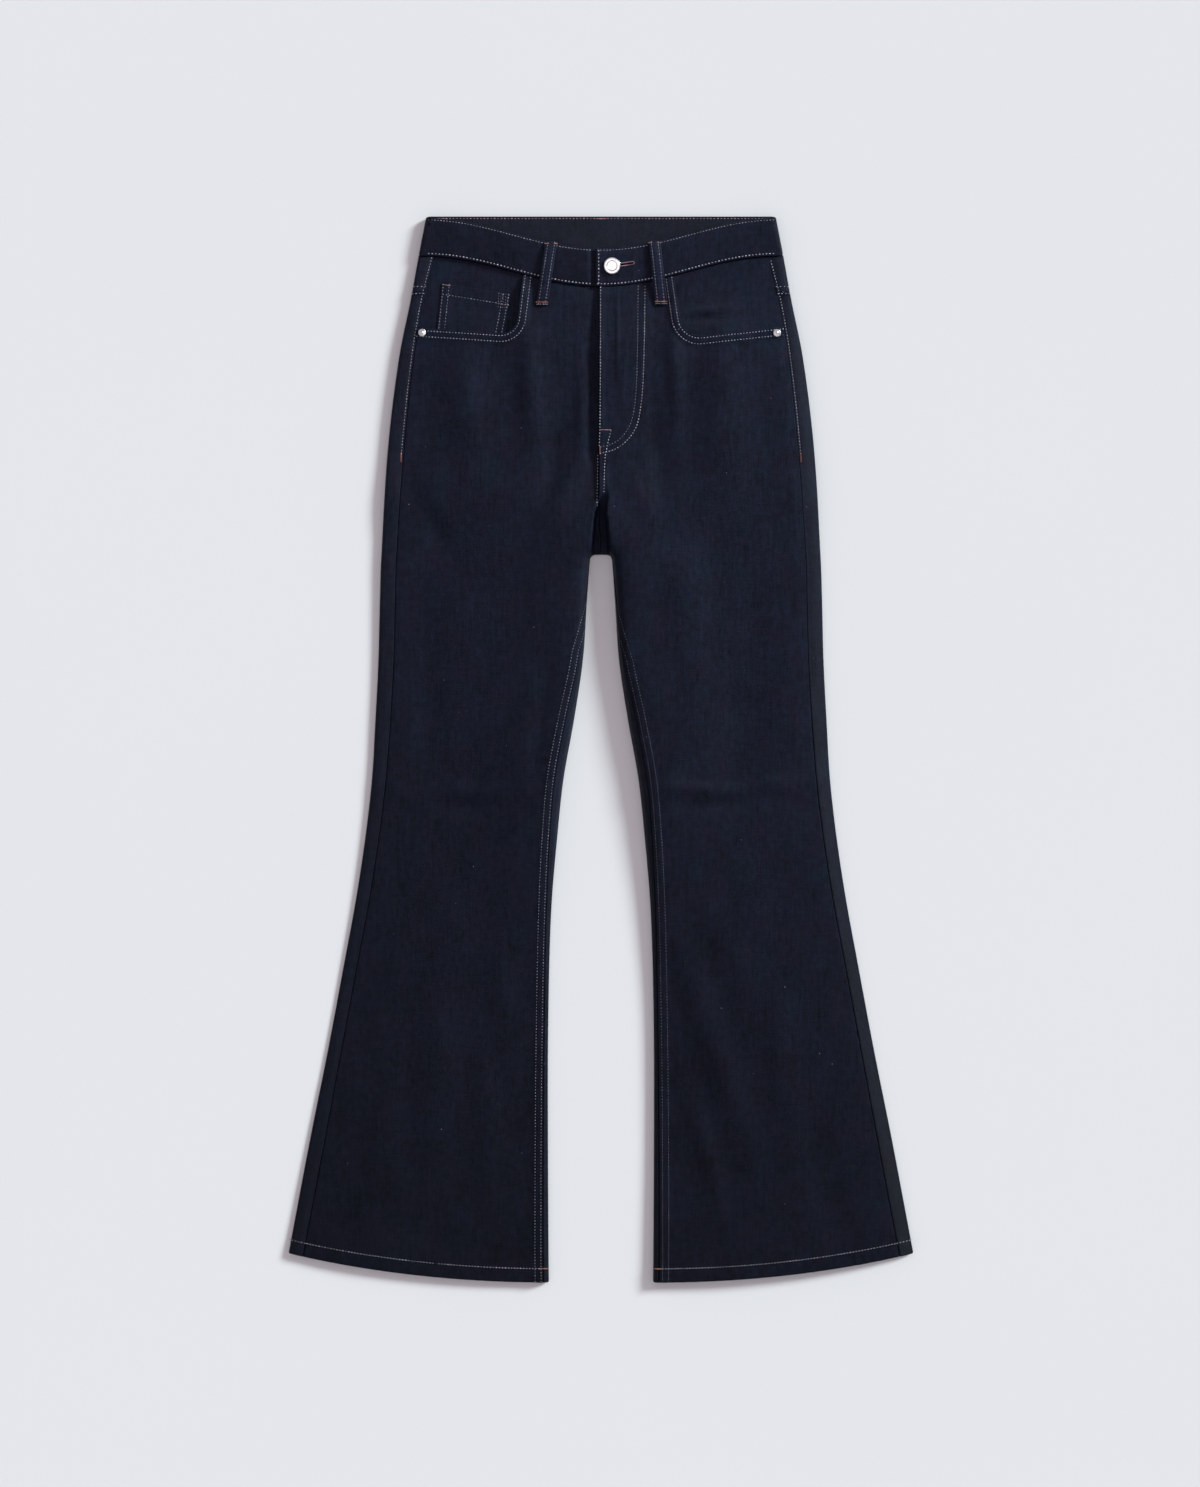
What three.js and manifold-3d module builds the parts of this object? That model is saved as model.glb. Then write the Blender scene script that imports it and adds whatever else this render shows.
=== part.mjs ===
// Bootcut jeans, buttoned and laid flat on their back with both legs straight.
// Millimetres. X runs to the wearer's left, Y up to the waist, Z up out of the front.
// The origin is the middle of the surface that the jeans lie on.
//
// The garment is one flattened tube that forks into two legs. Its outer face is a formula: a point
// on the front or the back face is as high as its distance from the outline lets it be, so every
// side ends in a round fold. Each cut piece is a patch of that face with the cloth's own wall.

import * as THREE from "three";
import { mergeVertices } from "three/addons/utils/BufferGeometryUtils.js";
import Module from "manifold-3d";

const wasm = await Module();
wasm.setup();

// ---------------------------------------------------------------- driving sizes

const LENGTH = 1090;            // back of the waistband to the lowest point of the hem
const BAND_HEIGHT = 38;
const BAND_WALL = 2.4;
const BAND_STEP = 1.2;          // the band stands this far above the panels below it
const DENIM = 1.2;
const HEM_WALL = 2.2;
const HEM_HEIGHT = 14;
const GAP = 0.3;                // between pieces, at a seam and from layer to layer
const BAND_GAP = 0.5;           // below the band, where straight edges meet a curved seam
const PATCH_WALL = 1.6;         // belt loops and back pockets
const COIN_WALL = 1;
const ZIP_WALL = 1;
const FOLD_DEPTH = 4;           // how far in from the outline the cloth is still turning
const FOLD_ARC = 5.6;           // length of cloth in that turn, from the outline to one face

const TOP = LENGTH / 2;
const HEM_SIDE = -515.3;        // the hem where the outer fold meets it
const HEM_DROP = 29.7;          // how much lower the hem is at the inner fold
const HEM_CURVE_TOP = -300;     // rows are straight above this
const YOKE_SIDE = 469;
const YOKE_CENTRE = 435;
const WAIST_HALF = 180;         // half the width of the waist
const WAIST_SAG = 15.5;         // the front edge dips by twice this at the centre
const BAND_SEAM = TOP - BAND_HEIGHT;
const FRONT_BAND_SEAM = 488.7;  // mean height of the band's lower edge on the front
const FRONT_BAND_TOP = 527.6;
const WAIST_CURVE_FOOT = 330;   // rows are straight below this

const CROTCH = 199;             // the edge between the legs
const CROTCH_HALF = 11.3;
const CROTCH_CORNER = 6;
const VALLEY = { depth: 2.4, width: 8, foot: 10, head: 60 };
const REST = { foot: 214, head: 262, height: PATCH_WALL + GAP };  // the seat lies on its pockets

const FLY = { foot: 285, full: 318, edge: -2.5, raise: 1, dip: 0.5, width: 42, fade: 18, under: 3.5 };
const FLY_SEAM_FOOT = 240;

const UNDERLAP = { leftEnd: -4, rightEnd: 34, ramp: 10, flat: -6.5 };
const BUTTON = { x: 11.3, y: 493.8, radius: 8.5, shank: 2.5, rise: 3.6 };
const BUTTONHOLE = { eye: 3.3, slit: 1.4, endX: 32.8, endY: 496.9 };

// Cross-sections from the waist down. outer and inner are distances from the centre line to the
// outline, edge is the height of the side folds, sideSeam and inseam are how far in from the
// outline those seams lie on the front.
const SECTIONS = [
  { y: 545, outer: 178.6, inner: 0, edge: 6.3, sideSeam: 16, inseam: 0 },
  { y: 505, outer: 186.3, inner: 0, edge: 6.3, sideSeam: 15.9, inseam: 0 },
  { y: 460, outer: 194.5, inner: 0, edge: 6.3, sideSeam: 13, inseam: 0 },
  { y: 399, outer: 206.7, inner: 0, edge: 6.3, sideSeam: 15, inseam: 0 },
  { y: 306, outer: 218, inner: 0, edge: 6.3, sideSeam: 16.4, inseam: 0 },
  { y: 193, outer: 224.9, inner: 11.3, edge: 6, sideSeam: 15.5, inseam: 0 },
  { y: 153, outer: 226.2, inner: 14.3, edge: 6, sideSeam: 15.2, inseam: 1.5 },
  { y: 92, outer: 227.7, inner: 18.4, edge: 6, sideSeam: 14.8, inseam: 4.5 },
  { y: 30, outer: 230.8, inner: 27.6, edge: 5.8, sideSeam: 14.8, inseam: 8.5 },
  { y: -31, outer: 234.4, inner: 38.4, edge: 5.8, sideSeam: 13.8, inseam: 8.9 },
  { y: -93, outer: 241.5, inner: 45, edge: 5.8, sideSeam: 13.4, inseam: 7.6 },
  { y: -154, outer: 250.8, inner: 50.2, edge: 5.8, sideSeam: 12.6, inseam: 5.4 },
  { y: -215, outer: 262, inner: 52.7, edge: 5.8, sideSeam: 11.3, inseam: 4.6 },
  { y: -308, outer: 279.4, inner: 54.2, edge: 5.8, sideSeam: 11.3, inseam: 4.6 },
  { y: -400, outer: 297.8, inner: 54.2, edge: 6, sideSeam: 12.3, inseam: 5.4 },
  { y: -515, outer: 319.5, inner: 53.6, edge: 7, sideSeam: 12.3, inseam: 6.2 },
  { y: -545, outer: 325.3, inner: 53.3, edge: 7, sideSeam: 12.3, inseam: 6.2 },
];

// The largest soft folds of the front. Each runs `along` to either side of x, y in the direction
// turn (degrees from X), is `across` wide to either side of its line, and rises by height.
const FOLDS = [
  { x: 112, y: -36, turn: 3, along: 62, across: 15, height: 0.7 },
  { x: 108, y: -66, turn: 3, along: 70, across: 15, height: -0.5 },
  { x: -138, y: -30, turn: -8, along: 46, across: 16, height: 0.6 },
  { x: -120, y: -62, turn: -8, along: 55, across: 14, height: -0.5 },
  { x: -22, y: 365, turn: 86, along: 70, across: 9, height: -0.5 },
  { x: -62, y: 335, turn: 96, along: 90, across: 14, height: 0.6 },
  { x: 68, y: 375, turn: 95, along: 60, across: 12, height: -0.5 },
  { x: 120, y: -235, turn: 112, along: 70, across: 15, height: 0.6 },
  { x: 112, y: -330, turn: 108, along: 105, across: 16, height: -0.6 },
  { x: -150, y: -170, turn: 88, along: 75, across: 18, height: 0.6 },
  { x: -188, y: -320, turn: 85, along: 100, across: 18, height: -0.6 },
];

// Mouth of each front pocket: it drops from the band at topX, turns a round corner and runs out
// to the side seam.
const POCKET_MOUTHS = {
  right: { topX: 80, topY: 484, cornerX: 87.5, cornerY: 424, radius: 17, endX: 196, endY: 431 },
  left: { topX: 74.6, topY: 484, cornerX: 83.5, cornerY: 420, radius: 20, endX: 196, endY: 433 },
};
const FACING = { underlap: 18, below: 18, underBack: 5 };

const COIN_POCKET = {
  inTop: [92.6, 465.7], outTop: [162.7, 476.4], inFoot: [102, 414], outFoot: [169, 415],
};

// Back pockets, as distances from the centre line. The mouth follows the yoke.
const BACK_POCKET = {
  inTop: [42, 422], outTop: [166, 438], outSide: [164, 306], point: [108, 278], inSide: [50, 300],
};

const LOOP_WIDTH = 12.6;
const FRONT_LOOPS = {
  right: { topX: -50.7, footX: -60.4, foot: 453.4 },
  left: { topX: 54.8, footX: 61.4, foot: 453.9 },
};
const BACK_LOOPS = { right: -122, left: 122, centre: 0 };
const BACK_LOOP_FOOT = 485;

const RIVET = { radius: 3.9, rise: 1.5 };
const RIVETS = { right: [-182.6, 425.6], left: [179.8, 425.2] };

// Heights of the rows of points: close at the hem, at the fork and at the foot of the fly.
const ROWS = [
  HEM_SIDE, HEM_SIDE + HEM_HEIGHT - 1, HEM_SIDE + HEM_HEIGHT, -455, -405, -355, -308, -262, -215, -169,
  -123, -77, -31, 15, 61, 105, 140, 168, 187, CROTCH - 5, CROTCH - 1.4, CROTCH + 0.03,
  CROTCH + 1.2, CROTCH + 4.2, 214, 230, 262, 301, FLY.full, 335, 380,
];
const YOKE_SIDE_ROWS = [1 / 3, 2 / 3, 1];

// ---------------------------------------------------------------- small helpers

const lerp = (a, b, t) => a + (b - a) * t;
const clamp = (value, low, high) => Math.min(Math.max(value, low), high);

function smooth(low, high, value) {
  const t = clamp((value - low) / (high - low), 0, 1);
  return t * t * (3 - 2 * t);
}

// A smooth curve through one column of SECTIONS.
function track(column) {
  const rows = SECTIONS.toReversed();
  const slope = (i) => {
    const a = rows[Math.max(i - 1, 0)];
    const b = rows[Math.min(i + 1, rows.length - 1)];
    return (b[column] - a[column]) / (b.y - a.y);
  };
  return (y) => {
    let i = 0;
    while (i < rows.length - 2 && y > rows[i + 1].y) i += 1;
    const span = rows[i + 1].y - rows[i].y;
    const t = clamp((y - rows[i].y) / span, 0, 1);
    const ease = t * t * (3 - 2 * t);
    const leave = t * (1 - t) * (1 - t) * span * slope(i);
    const arrive = t * t * (t - 1) * span * slope(i + 1);
    return lerp(rows[i][column], rows[i + 1][column], ease) + leave + arrive;
  };
}

const outerAt = track("outer");
const legInnerAt = track("inner");
const edgeAt = track("edge");
const sideSeamAt = track("sideSeam");
const inseamAt = track("inseam");

// ---------------------------------------------------------------- the garment's outer face

// Distance from the centre line to the inner outline of a leg, zero above the fork.
function innerAt(y) {
  if (y >= CROTCH) return 0;
  const rise = y - (CROTCH - CROTCH_CORNER);
  if (rise <= 0) return legInnerAt(y);
  return CROTCH_HALF - CROTCH_CORNER + Math.sqrt(CROTCH_CORNER ** 2 - rise ** 2);
}

// How far in from the outline a point lies.
function edgeDistance(across, y) {
  const fromOuter = outerAt(y) - across;
  const rise = y - (CROTCH - CROTCH_CORNER);
  const beyondCorner = Math.max(Math.abs(across) - (CROTCH_HALF - CROTCH_CORNER), 0);
  const fromInner = rise > 0 ? Math.hypot(beyondCorner, rise) - CROTCH_CORNER : across - legInnerAt(y);
  return Math.min(fromOuter, fromInner);
}

const restAt = (y) => REST.height * smooth(REST.foot, REST.head, y);
const flyAt = (y) => smooth(FLY.foot, FLY.full, y);
const flySeamAt = (y) => FLY.edge * smooth(CROTCH, FLY_SEAM_FOOT, y);

// What the front face adds to its plain height: the fly's overlap, the valley above the fork
// and the soft folds.
function frontRelief(side, across, y) {
  const x = side * across;
  const overlap = side > 0
    ? FLY.raise * (1 - smooth(FLY.width, FLY.width + FLY.fade, x))
    : -FLY.dip * smooth(FLY.edge - FLY.fade, FLY.edge - FLY.under, x);
  const valleyRun = smooth(CROTCH - 20, CROTCH, y)
    * (1 - smooth(CROTCH + VALLEY.foot, CROTCH + VALLEY.head, y));
  let height = overlap * flyAt(y) - VALLEY.depth * valleyRun * Math.exp(-((x / VALLEY.width) ** 2));
  for (const fold of FOLDS) {
    const turn = THREE.MathUtils.degToRad(fold.turn);
    const dx = x - fold.x;
    const dy = y - fold.y;
    const along = (dx * Math.cos(turn) + dy * Math.sin(turn)) / fold.along;
    const across2 = (dy * Math.cos(turn) - dx * Math.sin(turn)) / fold.across;
    height += fold.height * Math.exp(-(along ** 2) - across2 ** 2);
  }
  return height;
}

// A point of the outer face of the panels, with its outward normal.
function skin(side, face, across, y) {
  const turn = 1 - clamp(edgeDistance(across, y), 0, FOLD_DEPTH) / FOLD_DEPTH;
  const rise = Math.sqrt(1 - turn * turn);
  const half = edgeAt(y) / 2;
  const relief = (a, b) => (face > 0 ? frontRelief(side, a, b) : 0);
  const height = restAt(y) + half * (1 + face * rise) + relief(across, y) * rise;
  const step = 0.02;
  const slope = (f, a, b) => (f(across + a, y + b) - f(across - a, y - b)) / (2 * step);
  const normal = new THREE.Vector3(
    side * (-slope(edgeDistance, step, 0) * turn / FOLD_DEPTH - slope(relief, step, 0) * rise / half),
    -slope(edgeDistance, 0, step) * turn / FOLD_DEPTH - slope(relief, 0, step) * rise / half,
    face * rise / half,
  ).normalize();
  return { point: new THREE.Vector3(side * across, y, height), normal };
}

const frontHeight = (side, across, y) => skin(side, 1, across, y).point.z;

// How far a point is from the outline, for a length of cloth measured round the fold from its tip.
function insetOf(length) {
  const run = Math.abs(length);
  if (run >= FOLD_ARC) return FOLD_DEPTH + run - FOLD_ARC;
  return FOLD_DEPTH * (1 - Math.cos(Math.PI / 2 * run / FOLD_ARC));
}

// The reverse: the length of cloth from the fold's tip to a point that far in.
function lengthTo(inset) {
  if (inset <= 0) return 0;
  if (inset >= FOLD_DEPTH) return FOLD_ARC + inset - FOLD_DEPTH;
  return FOLD_ARC * Math.acos(1 - inset / FOLD_DEPTH) / (Math.PI / 2);
}

// The lower and upper edges of the waistband on the front, which dip towards the centre.
const waistWave = (x) => Math.cos(Math.PI * clamp(x / WAIST_HALF, -1, 1));
const frontBandSeam = (x) => FRONT_BAND_SEAM - WAIST_SAG * waistWave(x);
const frontBandTop = (x) => FRONT_BAND_TOP - WAIST_SAG * waistWave(x);

// Rows bend down with the hem near the foot, and on the front with the waistband near the waist.
function rowHeight(face, across, row, frontShare) {
  const span = outerAt(row) - legInnerAt(row);
  const inward = clamp((outerAt(row) - across) / span, 0, 1);
  const hemFade = clamp((HEM_CURVE_TOP - row) / (HEM_CURVE_TOP - HEM_SIDE), 0, 1) ** 2;
  const waistFade = clamp((row - WAIST_CURVE_FOOT) / (BAND_SEAM - WAIST_CURVE_FOOT), 0, 1) ** 2;
  const hem = -HEM_DROP * (1 - (1 - inward) ** 2) * hemFade;
  return row + hem + (frontBandSeam(across) - BAND_SEAM) * waistFade * frontShare;
}

// ---------------------------------------------------------------- walls and solids

// A closed wall from a grid of outer points: columns + 1 points across, rows + 1 along.
function wall(columns, rows, place, thickness) {
  const positions = [];
  const stride = columns + 1;
  const count = stride * (rows + 1);
  const inner = [];
  for (let j = 0; j <= rows; j += 1) {
    for (let i = 0; i <= columns; i += 1) {
      const { point, normal } = place(i, j);
      positions.push(point.x, point.y, point.z);
      const behind = point.clone().addScaledVector(normal, -thickness(i, j));
      inner.push(behind.x, behind.y, behind.z);
    }
  }
  positions.push(...inner);
  const index = [];
  const quad = (a, b, c, d) => index.push(a, b, c, a, c, d);
  for (let j = 0; j < rows; j += 1) {
    for (let i = 0; i < columns; i += 1) {
      const a = j * stride + i;
      quad(a, a + 1, a + stride + 1, a + stride);
      quad(count + a, count + a + stride, count + a + stride + 1, count + a + 1);
    }
  }
  const rim = (a, b) => quad(a, count + a, count + b, b);
  for (let i = 0; i < columns; i += 1) {
    rim(i, i + 1);
    rim(rows * stride + i + 1, rows * stride + i);
  }
  for (let j = 0; j < rows; j += 1) {
    rim((j + 1) * stride, j * stride);
    rim(j * stride + columns, (j + 1) * stride + columns);
  }
  return facingOut(positions, index);
}

function facingOut(positions, index) {
  let volume = 0;
  const corner = (k) => new THREE.Vector3().fromArray(positions, 3 * index[k]);
  for (let k = 0; k < index.length; k += 3) {
    volume += corner(k).dot(corner(k + 1).cross(corner(k + 2)));
  }
  if (volume < 0) {
    for (let k = 0; k < index.length; k += 3) [index[k], index[k + 1]] = [index[k + 1], index[k]];
  }
  const geometry = new THREE.BufferGeometry();
  geometry.setAttribute("position", new THREE.Float32BufferAttribute(positions, 3));
  geometry.setIndex(index);
  geometry.computeVertexNormals();
  return geometry;
}

function solidOf(geometry) {
  const bare = geometry.clone();
  bare.deleteAttribute("normal");
  bare.deleteAttribute("uv");
  const merged = mergeVertices(bare, 1e-4);
  return new wasm.Manifold(new wasm.Mesh({
    numProp: 3,
    vertProperties: Float32Array.from(merged.attributes.position.array),
    triVerts: Uint32Array.from(merged.index.array),
  }));
}

function cut(geometry, tool) {
  const mesh = solidOf(geometry).subtract(solidOf(tool)).getMesh();
  const result = new THREE.BufferGeometry();
  result.setAttribute("position", new THREE.Float32BufferAttribute(Array.from(mesh.vertProperties), 3));
  result.setIndex(Array.from(mesh.triVerts));
  result.computeVertexNormals();
  return result;
}

// A flat plate with the given outline, from z = low to high.
function plate(outline, low, high) {
  const shape = new THREE.Shape(outline.map(([x, y]) => new THREE.Vector2(x, y)));
  const geometry = new THREE.ExtrudeGeometry(shape, { depth: high - low, bevelEnabled: false });
  geometry.translate(0, 0, low);
  return geometry;
}

// ---------------------------------------------------------------- front and back panels

const CORNER_RUN = 14;          // cloth next to the inseam that has columns of its own
const SEAM_HALF = GAP / 2;

// The inseam runs along the tip of the fold near the fork, where its two rims need more room.
const inseamHalf = (y) => SEAM_HALF * (1 + smooth(120, 170, y));

const panelWall = (row) => (row < HEM_SIDE + HEM_HEIGHT - 0.5 ? HEM_WALL : DENIM);

const frontRows = [...ROWS, ...YOKE_SIDE_ROWS.map((t) => lerp(380, YOKE_SIDE, t)), BAND_SEAM - BAND_GAP];

// Where the front panel ends at the centre, above the fork. The right panel goes under the left
// one once the fly has opened.
function frontCentre(side, y) {
  if (side > 0) return flySeamAt(y) + SEAM_HALF;
  return -flySeamAt(y) + SEAM_HALF - FLY.under * smooth(FLY.full, 335, y);
}

function frontPanel(side) {
  const nearInseam = [0, 0.35, 1];
  const spread = 7;
  const columns = nearInseam.length - 1 + spread;
  const acrossAt = (i, y) => {
    const seam = outerAt(y) - sideSeamAt(y) - SEAM_HALF;
    const forked = y < CROTCH;
    const start = forked ? lengthTo(inseamAt(y)) + inseamHalf(y) : frontCentre(side, y);
    const near = (t) => {
      const run = lerp(start, start + CORNER_RUN, t);
      return forked ? innerAt(y) + insetOf(run) : run;
    };
    if (i < nearInseam.length) return near(nearInseam[i]);
    return lerp(near(1), seam, (i - nearInseam.length + 1) / spread);
  };
  const place = (i, j) => {
    const row = frontRows[j];
    const y = rowHeight(1, acrossAt(i, row), row, 1);
    return skin(side, 1, acrossAt(i, y), y);
  };
  const panel = wall(columns, frontRows.length - 1, place, (i, j) => panelWall(frontRows[j]));
  return cut(panel, plate(pocketMouth(side), -20, 40));
}

// The part of the front that the pocket mouth takes away, as an outline in plan.
function pocketMouth(side) {
  const mouth = side > 0 ? POCKET_MOUTHS.left : POCKET_MOUTHS.right;
  const top = new THREE.Vector2(mouth.topX, mouth.topY);
  const corner = new THREE.Vector2(mouth.cornerX, mouth.cornerY);
  const end = new THREE.Vector2(mouth.endX, mouth.endY);
  const up = top.clone().sub(corner).normalize();
  const out = end.clone().sub(corner).normalize();
  const reach = mouth.radius / Math.tan(up.angleTo(out) / 2);
  const centre = corner.clone().addScaledVector(up.clone().add(out).normalize(),
    mouth.radius / Math.sin(up.angleTo(out) / 2));
  const start = corner.clone().addScaledVector(up, reach).sub(centre);
  const stop = corner.clone().addScaledVector(out, reach).sub(centre);
  const sweep = stop.angle() - start.angle();
  const points = [[mouth.topX, TOP], [mouth.topX, mouth.topY]];
  const steps = 7;
  for (let k = 0; k <= steps; k += 1) {
    const angle = start.angle() + sweep * k / steps;
    points.push([centre.x + mouth.radius * Math.cos(angle), centre.y + mouth.radius * Math.sin(angle)]);
  }
  points.push([mouth.endX, mouth.endY], [mouth.endX + 40, TOP]);
  return points.map(([x, y]) => [side * x, y]);
}

// The back wraps round the outer fold to the side seam on the front, and below the fork round the
// inner fold to the inseam. Columns are given as lengths of cloth from a fold's tip.
const OUTER_TURN = [FOLD_ARC, FOLD_ARC / 2, 0, -FOLD_ARC / 2, -FOLD_ARC];
const INNER_TURN = [0, 0.25, 0.45, 0.65, 0.82, 1];
const BACK_SPREAD = 4;

function outerTurn(i, y) {
  const length = i === 0 ? lengthTo(sideSeamAt(y)) - SEAM_HALF : OUTER_TURN[i - 1];
  return { face: length > 0 ? 1 : -1, across: outerAt(y) - insetOf(length), share: outerShare(length) };
}

// How much a point follows the front's dipping waist rather than the straight one of the back.
const outerShare = (length) => smooth(-FOLD_ARC, FOLD_ARC, length);

function backColumn(i, y) {
  if (i <= OUTER_TURN.length) return outerTurn(i, y);
  const forked = y < CROTCH;
  const end = forked ? lengthTo(inseamAt(y)) - inseamHalf(y) : -SEAM_HALF;
  const step = i - OUTER_TURN.length - BACK_SPREAD;
  const length = lerp(-CORNER_RUN, end, INNER_TURN[Math.max(step, 0)]);
  const across = Math.max(innerAt(y) + insetOf(length), SEAM_HALF);
  if (step >= 0) return { face: forked && length > 0 ? 1 : -1, across, share: 0 };
  const flatStart = outerAt(y) - insetOf(-FOLD_ARC);
  return { face: -1, across: lerp(across, flatStart, -step / BACK_SPREAD), share: 0 };
}

const yokeSeam = (column, across, row) =>
  (column <= OUTER_TURN.length ? YOKE_SIDE : lerp(YOKE_CENTRE, YOKE_SIDE, across / outerAt(row)));

function backPanel(side) {
  const columns = OUTER_TURN.length + BACK_SPREAD + INNER_TURN.length - 1;
  const rows = ROWS.length + YOKE_SIDE_ROWS.length - 1;
  const place = (i, j) => {
    const low = ROWS[Math.min(j, ROWS.length - 1)];
    const first = backColumn(i, low);
    const climb = j < ROWS.length ? 0 : YOKE_SIDE_ROWS[j - ROWS.length];
    const row = lerp(low, yokeSeam(i, first.across, low), climb);
    const y = rowHeight(first.face, first.across, row, first.share);
    const { face, across } = backColumn(i, y);
    return skin(side, face, across, y);
  };
  return wall(columns, rows, place, (i, j) => panelWall(ROWS[Math.min(j, ROWS.length - 1)]));
}

function yoke(side) {
  const spread = 5;
  const rows = 3;
  const column = (i, y) => {
    if (i <= OUTER_TURN.length) return outerTurn(i, y);
    const flatStart = outerAt(y) - FOLD_DEPTH;
    return { face: -1, across: lerp(flatStart, SEAM_HALF, (i - OUTER_TURN.length) / spread), share: 0 };
  };
  const place = (i, j) => {
    const first = column(i, YOKE_SIDE);
    const seam = yokeSeam(i, first.across, YOKE_SIDE) + GAP;
    const row = lerp(seam, BAND_SEAM - BAND_GAP, j / rows);
    const y = rowHeight(first.face, first.across, row, first.share);
    const { face, across } = column(i, y);
    return skin(side, face, across, y);
  };
  return wall(OUTER_TURN.length + spread, rows, place, () => DENIM);
}

// ---------------------------------------------------------------- waistband

const BAND_EDGE = edgeAt(BAND_SEAM) + BAND_STEP;
const BAND_TURN = { depth: 4.6, steps: 4 };
const BAND_CENTRE_LIFT = 0.5;   // the left end rides this much higher over the right one

const bandTopHeight = REST.height + BAND_EDGE;
const leftLift = (x) => BAND_CENTRE_LIFT * clamp((75 - x) / 30, 0, 1);

// One strip, from the wearer's left end on top, round the back, to the right end below it.
function bandStations() {
  const stations = [];
  const flat = (x, face, lift) => stations.push({ x, face, lift, turn: null });
  const rightDrop = (x) => -smooth(UNDERLAP.flat - UNDERLAP.ramp, UNDERLAP.flat, x)
    * (BAND_WALL + GAP - BAND_CENTRE_LIFT);
  for (const x of [UNDERLAP.leftEnd, 10, 22, 34, 45, 60, 75, 90, 105, 120, 135, 150, 165, 176]) {
    flat(x, 1, leftLift(x));
  }
  const fold = (side, from) => {
    for (let k = 0; k <= BAND_TURN.steps; k += 1) {
      const angle = from * Math.PI * (0.5 - k / BAND_TURN.steps);
      stations.push({ x: side, face: 0, lift: 0, turn: angle });
    }
  };
  fold(1, 1);
  for (const x of [120, 60, 0, -60, -120]) flat(x, -1, 0);
  fold(-1, -1);
  for (const x of [-176, -165, -150, -135, -120, -105, -90, -75, -60, -45, -30,
    UNDERLAP.flat - UNDERLAP.ramp, -11.5, UNDERLAP.flat, 7, 20]) {
    flat(x, 1, rightDrop(x));
  }
  flat(UNDERLAP.rightEnd, 1, rightDrop(UNDERLAP.rightEnd));
  return stations;
}

function waistband() {
  const stations = bandStations();
  const half = BAND_EDGE / 2;
  const place = (i, j) => {
    const { x, face, lift, turn } = stations[i];
    const sine = turn === null ? face : Math.sin(turn);
    const share = (1 + sine) / 2;
    const plan = turn === null ? x : x * WAIST_HALF;
    const low = lerp(BAND_SEAM, frontBandSeam(plan), share);
    const high = lerp(TOP, frontBandTop(plan), share);
    const y = lerp(low, high, j);
    const height = REST.height + half * (1 + sine) + lift;
    if (turn === null) {
      return { point: new THREE.Vector3(x, y, height), normal: new THREE.Vector3(0, 0, face) };
    }
    const across = outerAt(y) - BAND_TURN.depth * (1 - Math.cos(turn));
    const normal = new THREE.Vector3(x * Math.cos(turn) / BAND_TURN.depth, 0, sine / half).normalize();
    return { point: new THREE.Vector3(x * across, y, height), normal };
  };
  const strip = wall(stations.length - 1, 1, place, () => BAND_WALL);
  return cut(strip, buttonhole());
}

// A keyhole: a round eye behind the button and a slit towards the wearer's left.
function buttonhole() {
  const along = new THREE.Vector2(BUTTONHOLE.endX - BUTTON.x, BUTTONHOLE.endY - BUTTON.y);
  const heading = along.angle();
  const open = Math.asin(BUTTONHOLE.slit / 2 / BUTTONHOLE.eye);
  const turned = (u, v) => [
    BUTTON.x + u * Math.cos(heading) - v * Math.sin(heading),
    BUTTON.y + u * Math.sin(heading) + v * Math.cos(heading),
  ];
  const points = [];
  const steps = 12;
  for (let k = 0; k <= steps; k += 1) {
    const angle = lerp(open, 2 * Math.PI - open, k / steps);
    points.push(turned(BUTTONHOLE.eye * Math.cos(angle), BUTTONHOLE.eye * Math.sin(angle)));
  }
  points.push(turned(along.length(), -BUTTONHOLE.slit / 2), turned(along.length(), BUTTONHOLE.slit / 2));
  const underlapTop = bandTopHeight + BAND_CENTRE_LIFT - BAND_WALL - GAP;
  return plate(points, underlapTop + GAP / 2, underlapTop + 10);
}

// ---------------------------------------------------------------- pieces laid on or under the panels

// A patch parallel to the front face, sunk below it by `sunk`, through four corners in plan.
function laid(side, corners, sunk, thickness, columns, rows) {
  const place = (i, j) => {
    const [x, y] = corners(i / columns, j / rows);
    const height = frontHeight(side, x, y) - sunk;
    return { point: new THREE.Vector3(side * x, y, height), normal: new THREE.Vector3(0, 0, 1) };
  };
  return wall(columns, rows, place, () => thickness);
}

const patch = ({ inTop, outTop, inFoot, outFoot }) => (u, v) => [
  lerp(lerp(inFoot[0], outFoot[0], u), lerp(inTop[0], outTop[0], u), v),
  lerp(lerp(inFoot[1], outFoot[1], u), lerp(inTop[1], outTop[1], u), v),
];

function pocketFacing(side) {
  const mouth = side > 0 ? POCKET_MOUTHS.left : POCKET_MOUTHS.right;
  const foot = mouth.cornerY - FACING.below;
  const corners = (u, v) => {
    const reach = (y) => outerAt(y) - sideSeamAt(y) + FACING.underBack;
    const rough = lerp(mouth.topX - FACING.underlap, reach(foot), u);
    const y = lerp(foot, frontBandSeam(rough) - BAND_GAP, v);
    return [lerp(mouth.topX - FACING.underlap, reach(y), u), y];
  };
  const sunk = DENIM + GAP + (side < 0 ? COIN_WALL + GAP : 0);
  return laid(side, corners, sunk, DENIM, 7, 6);
}

const coinPocket = () => laid(-1, patch(COIN_POCKET), DENIM + GAP, COIN_WALL, 5, 4);

// The layers behind the fly, each below the one before: left front, right front, zip, shield.
const ZIP_SUNK = 2 * (DENIM + GAP);
const SHIELD_SUNK = ZIP_SUNK + ZIP_WALL + GAP;

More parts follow.
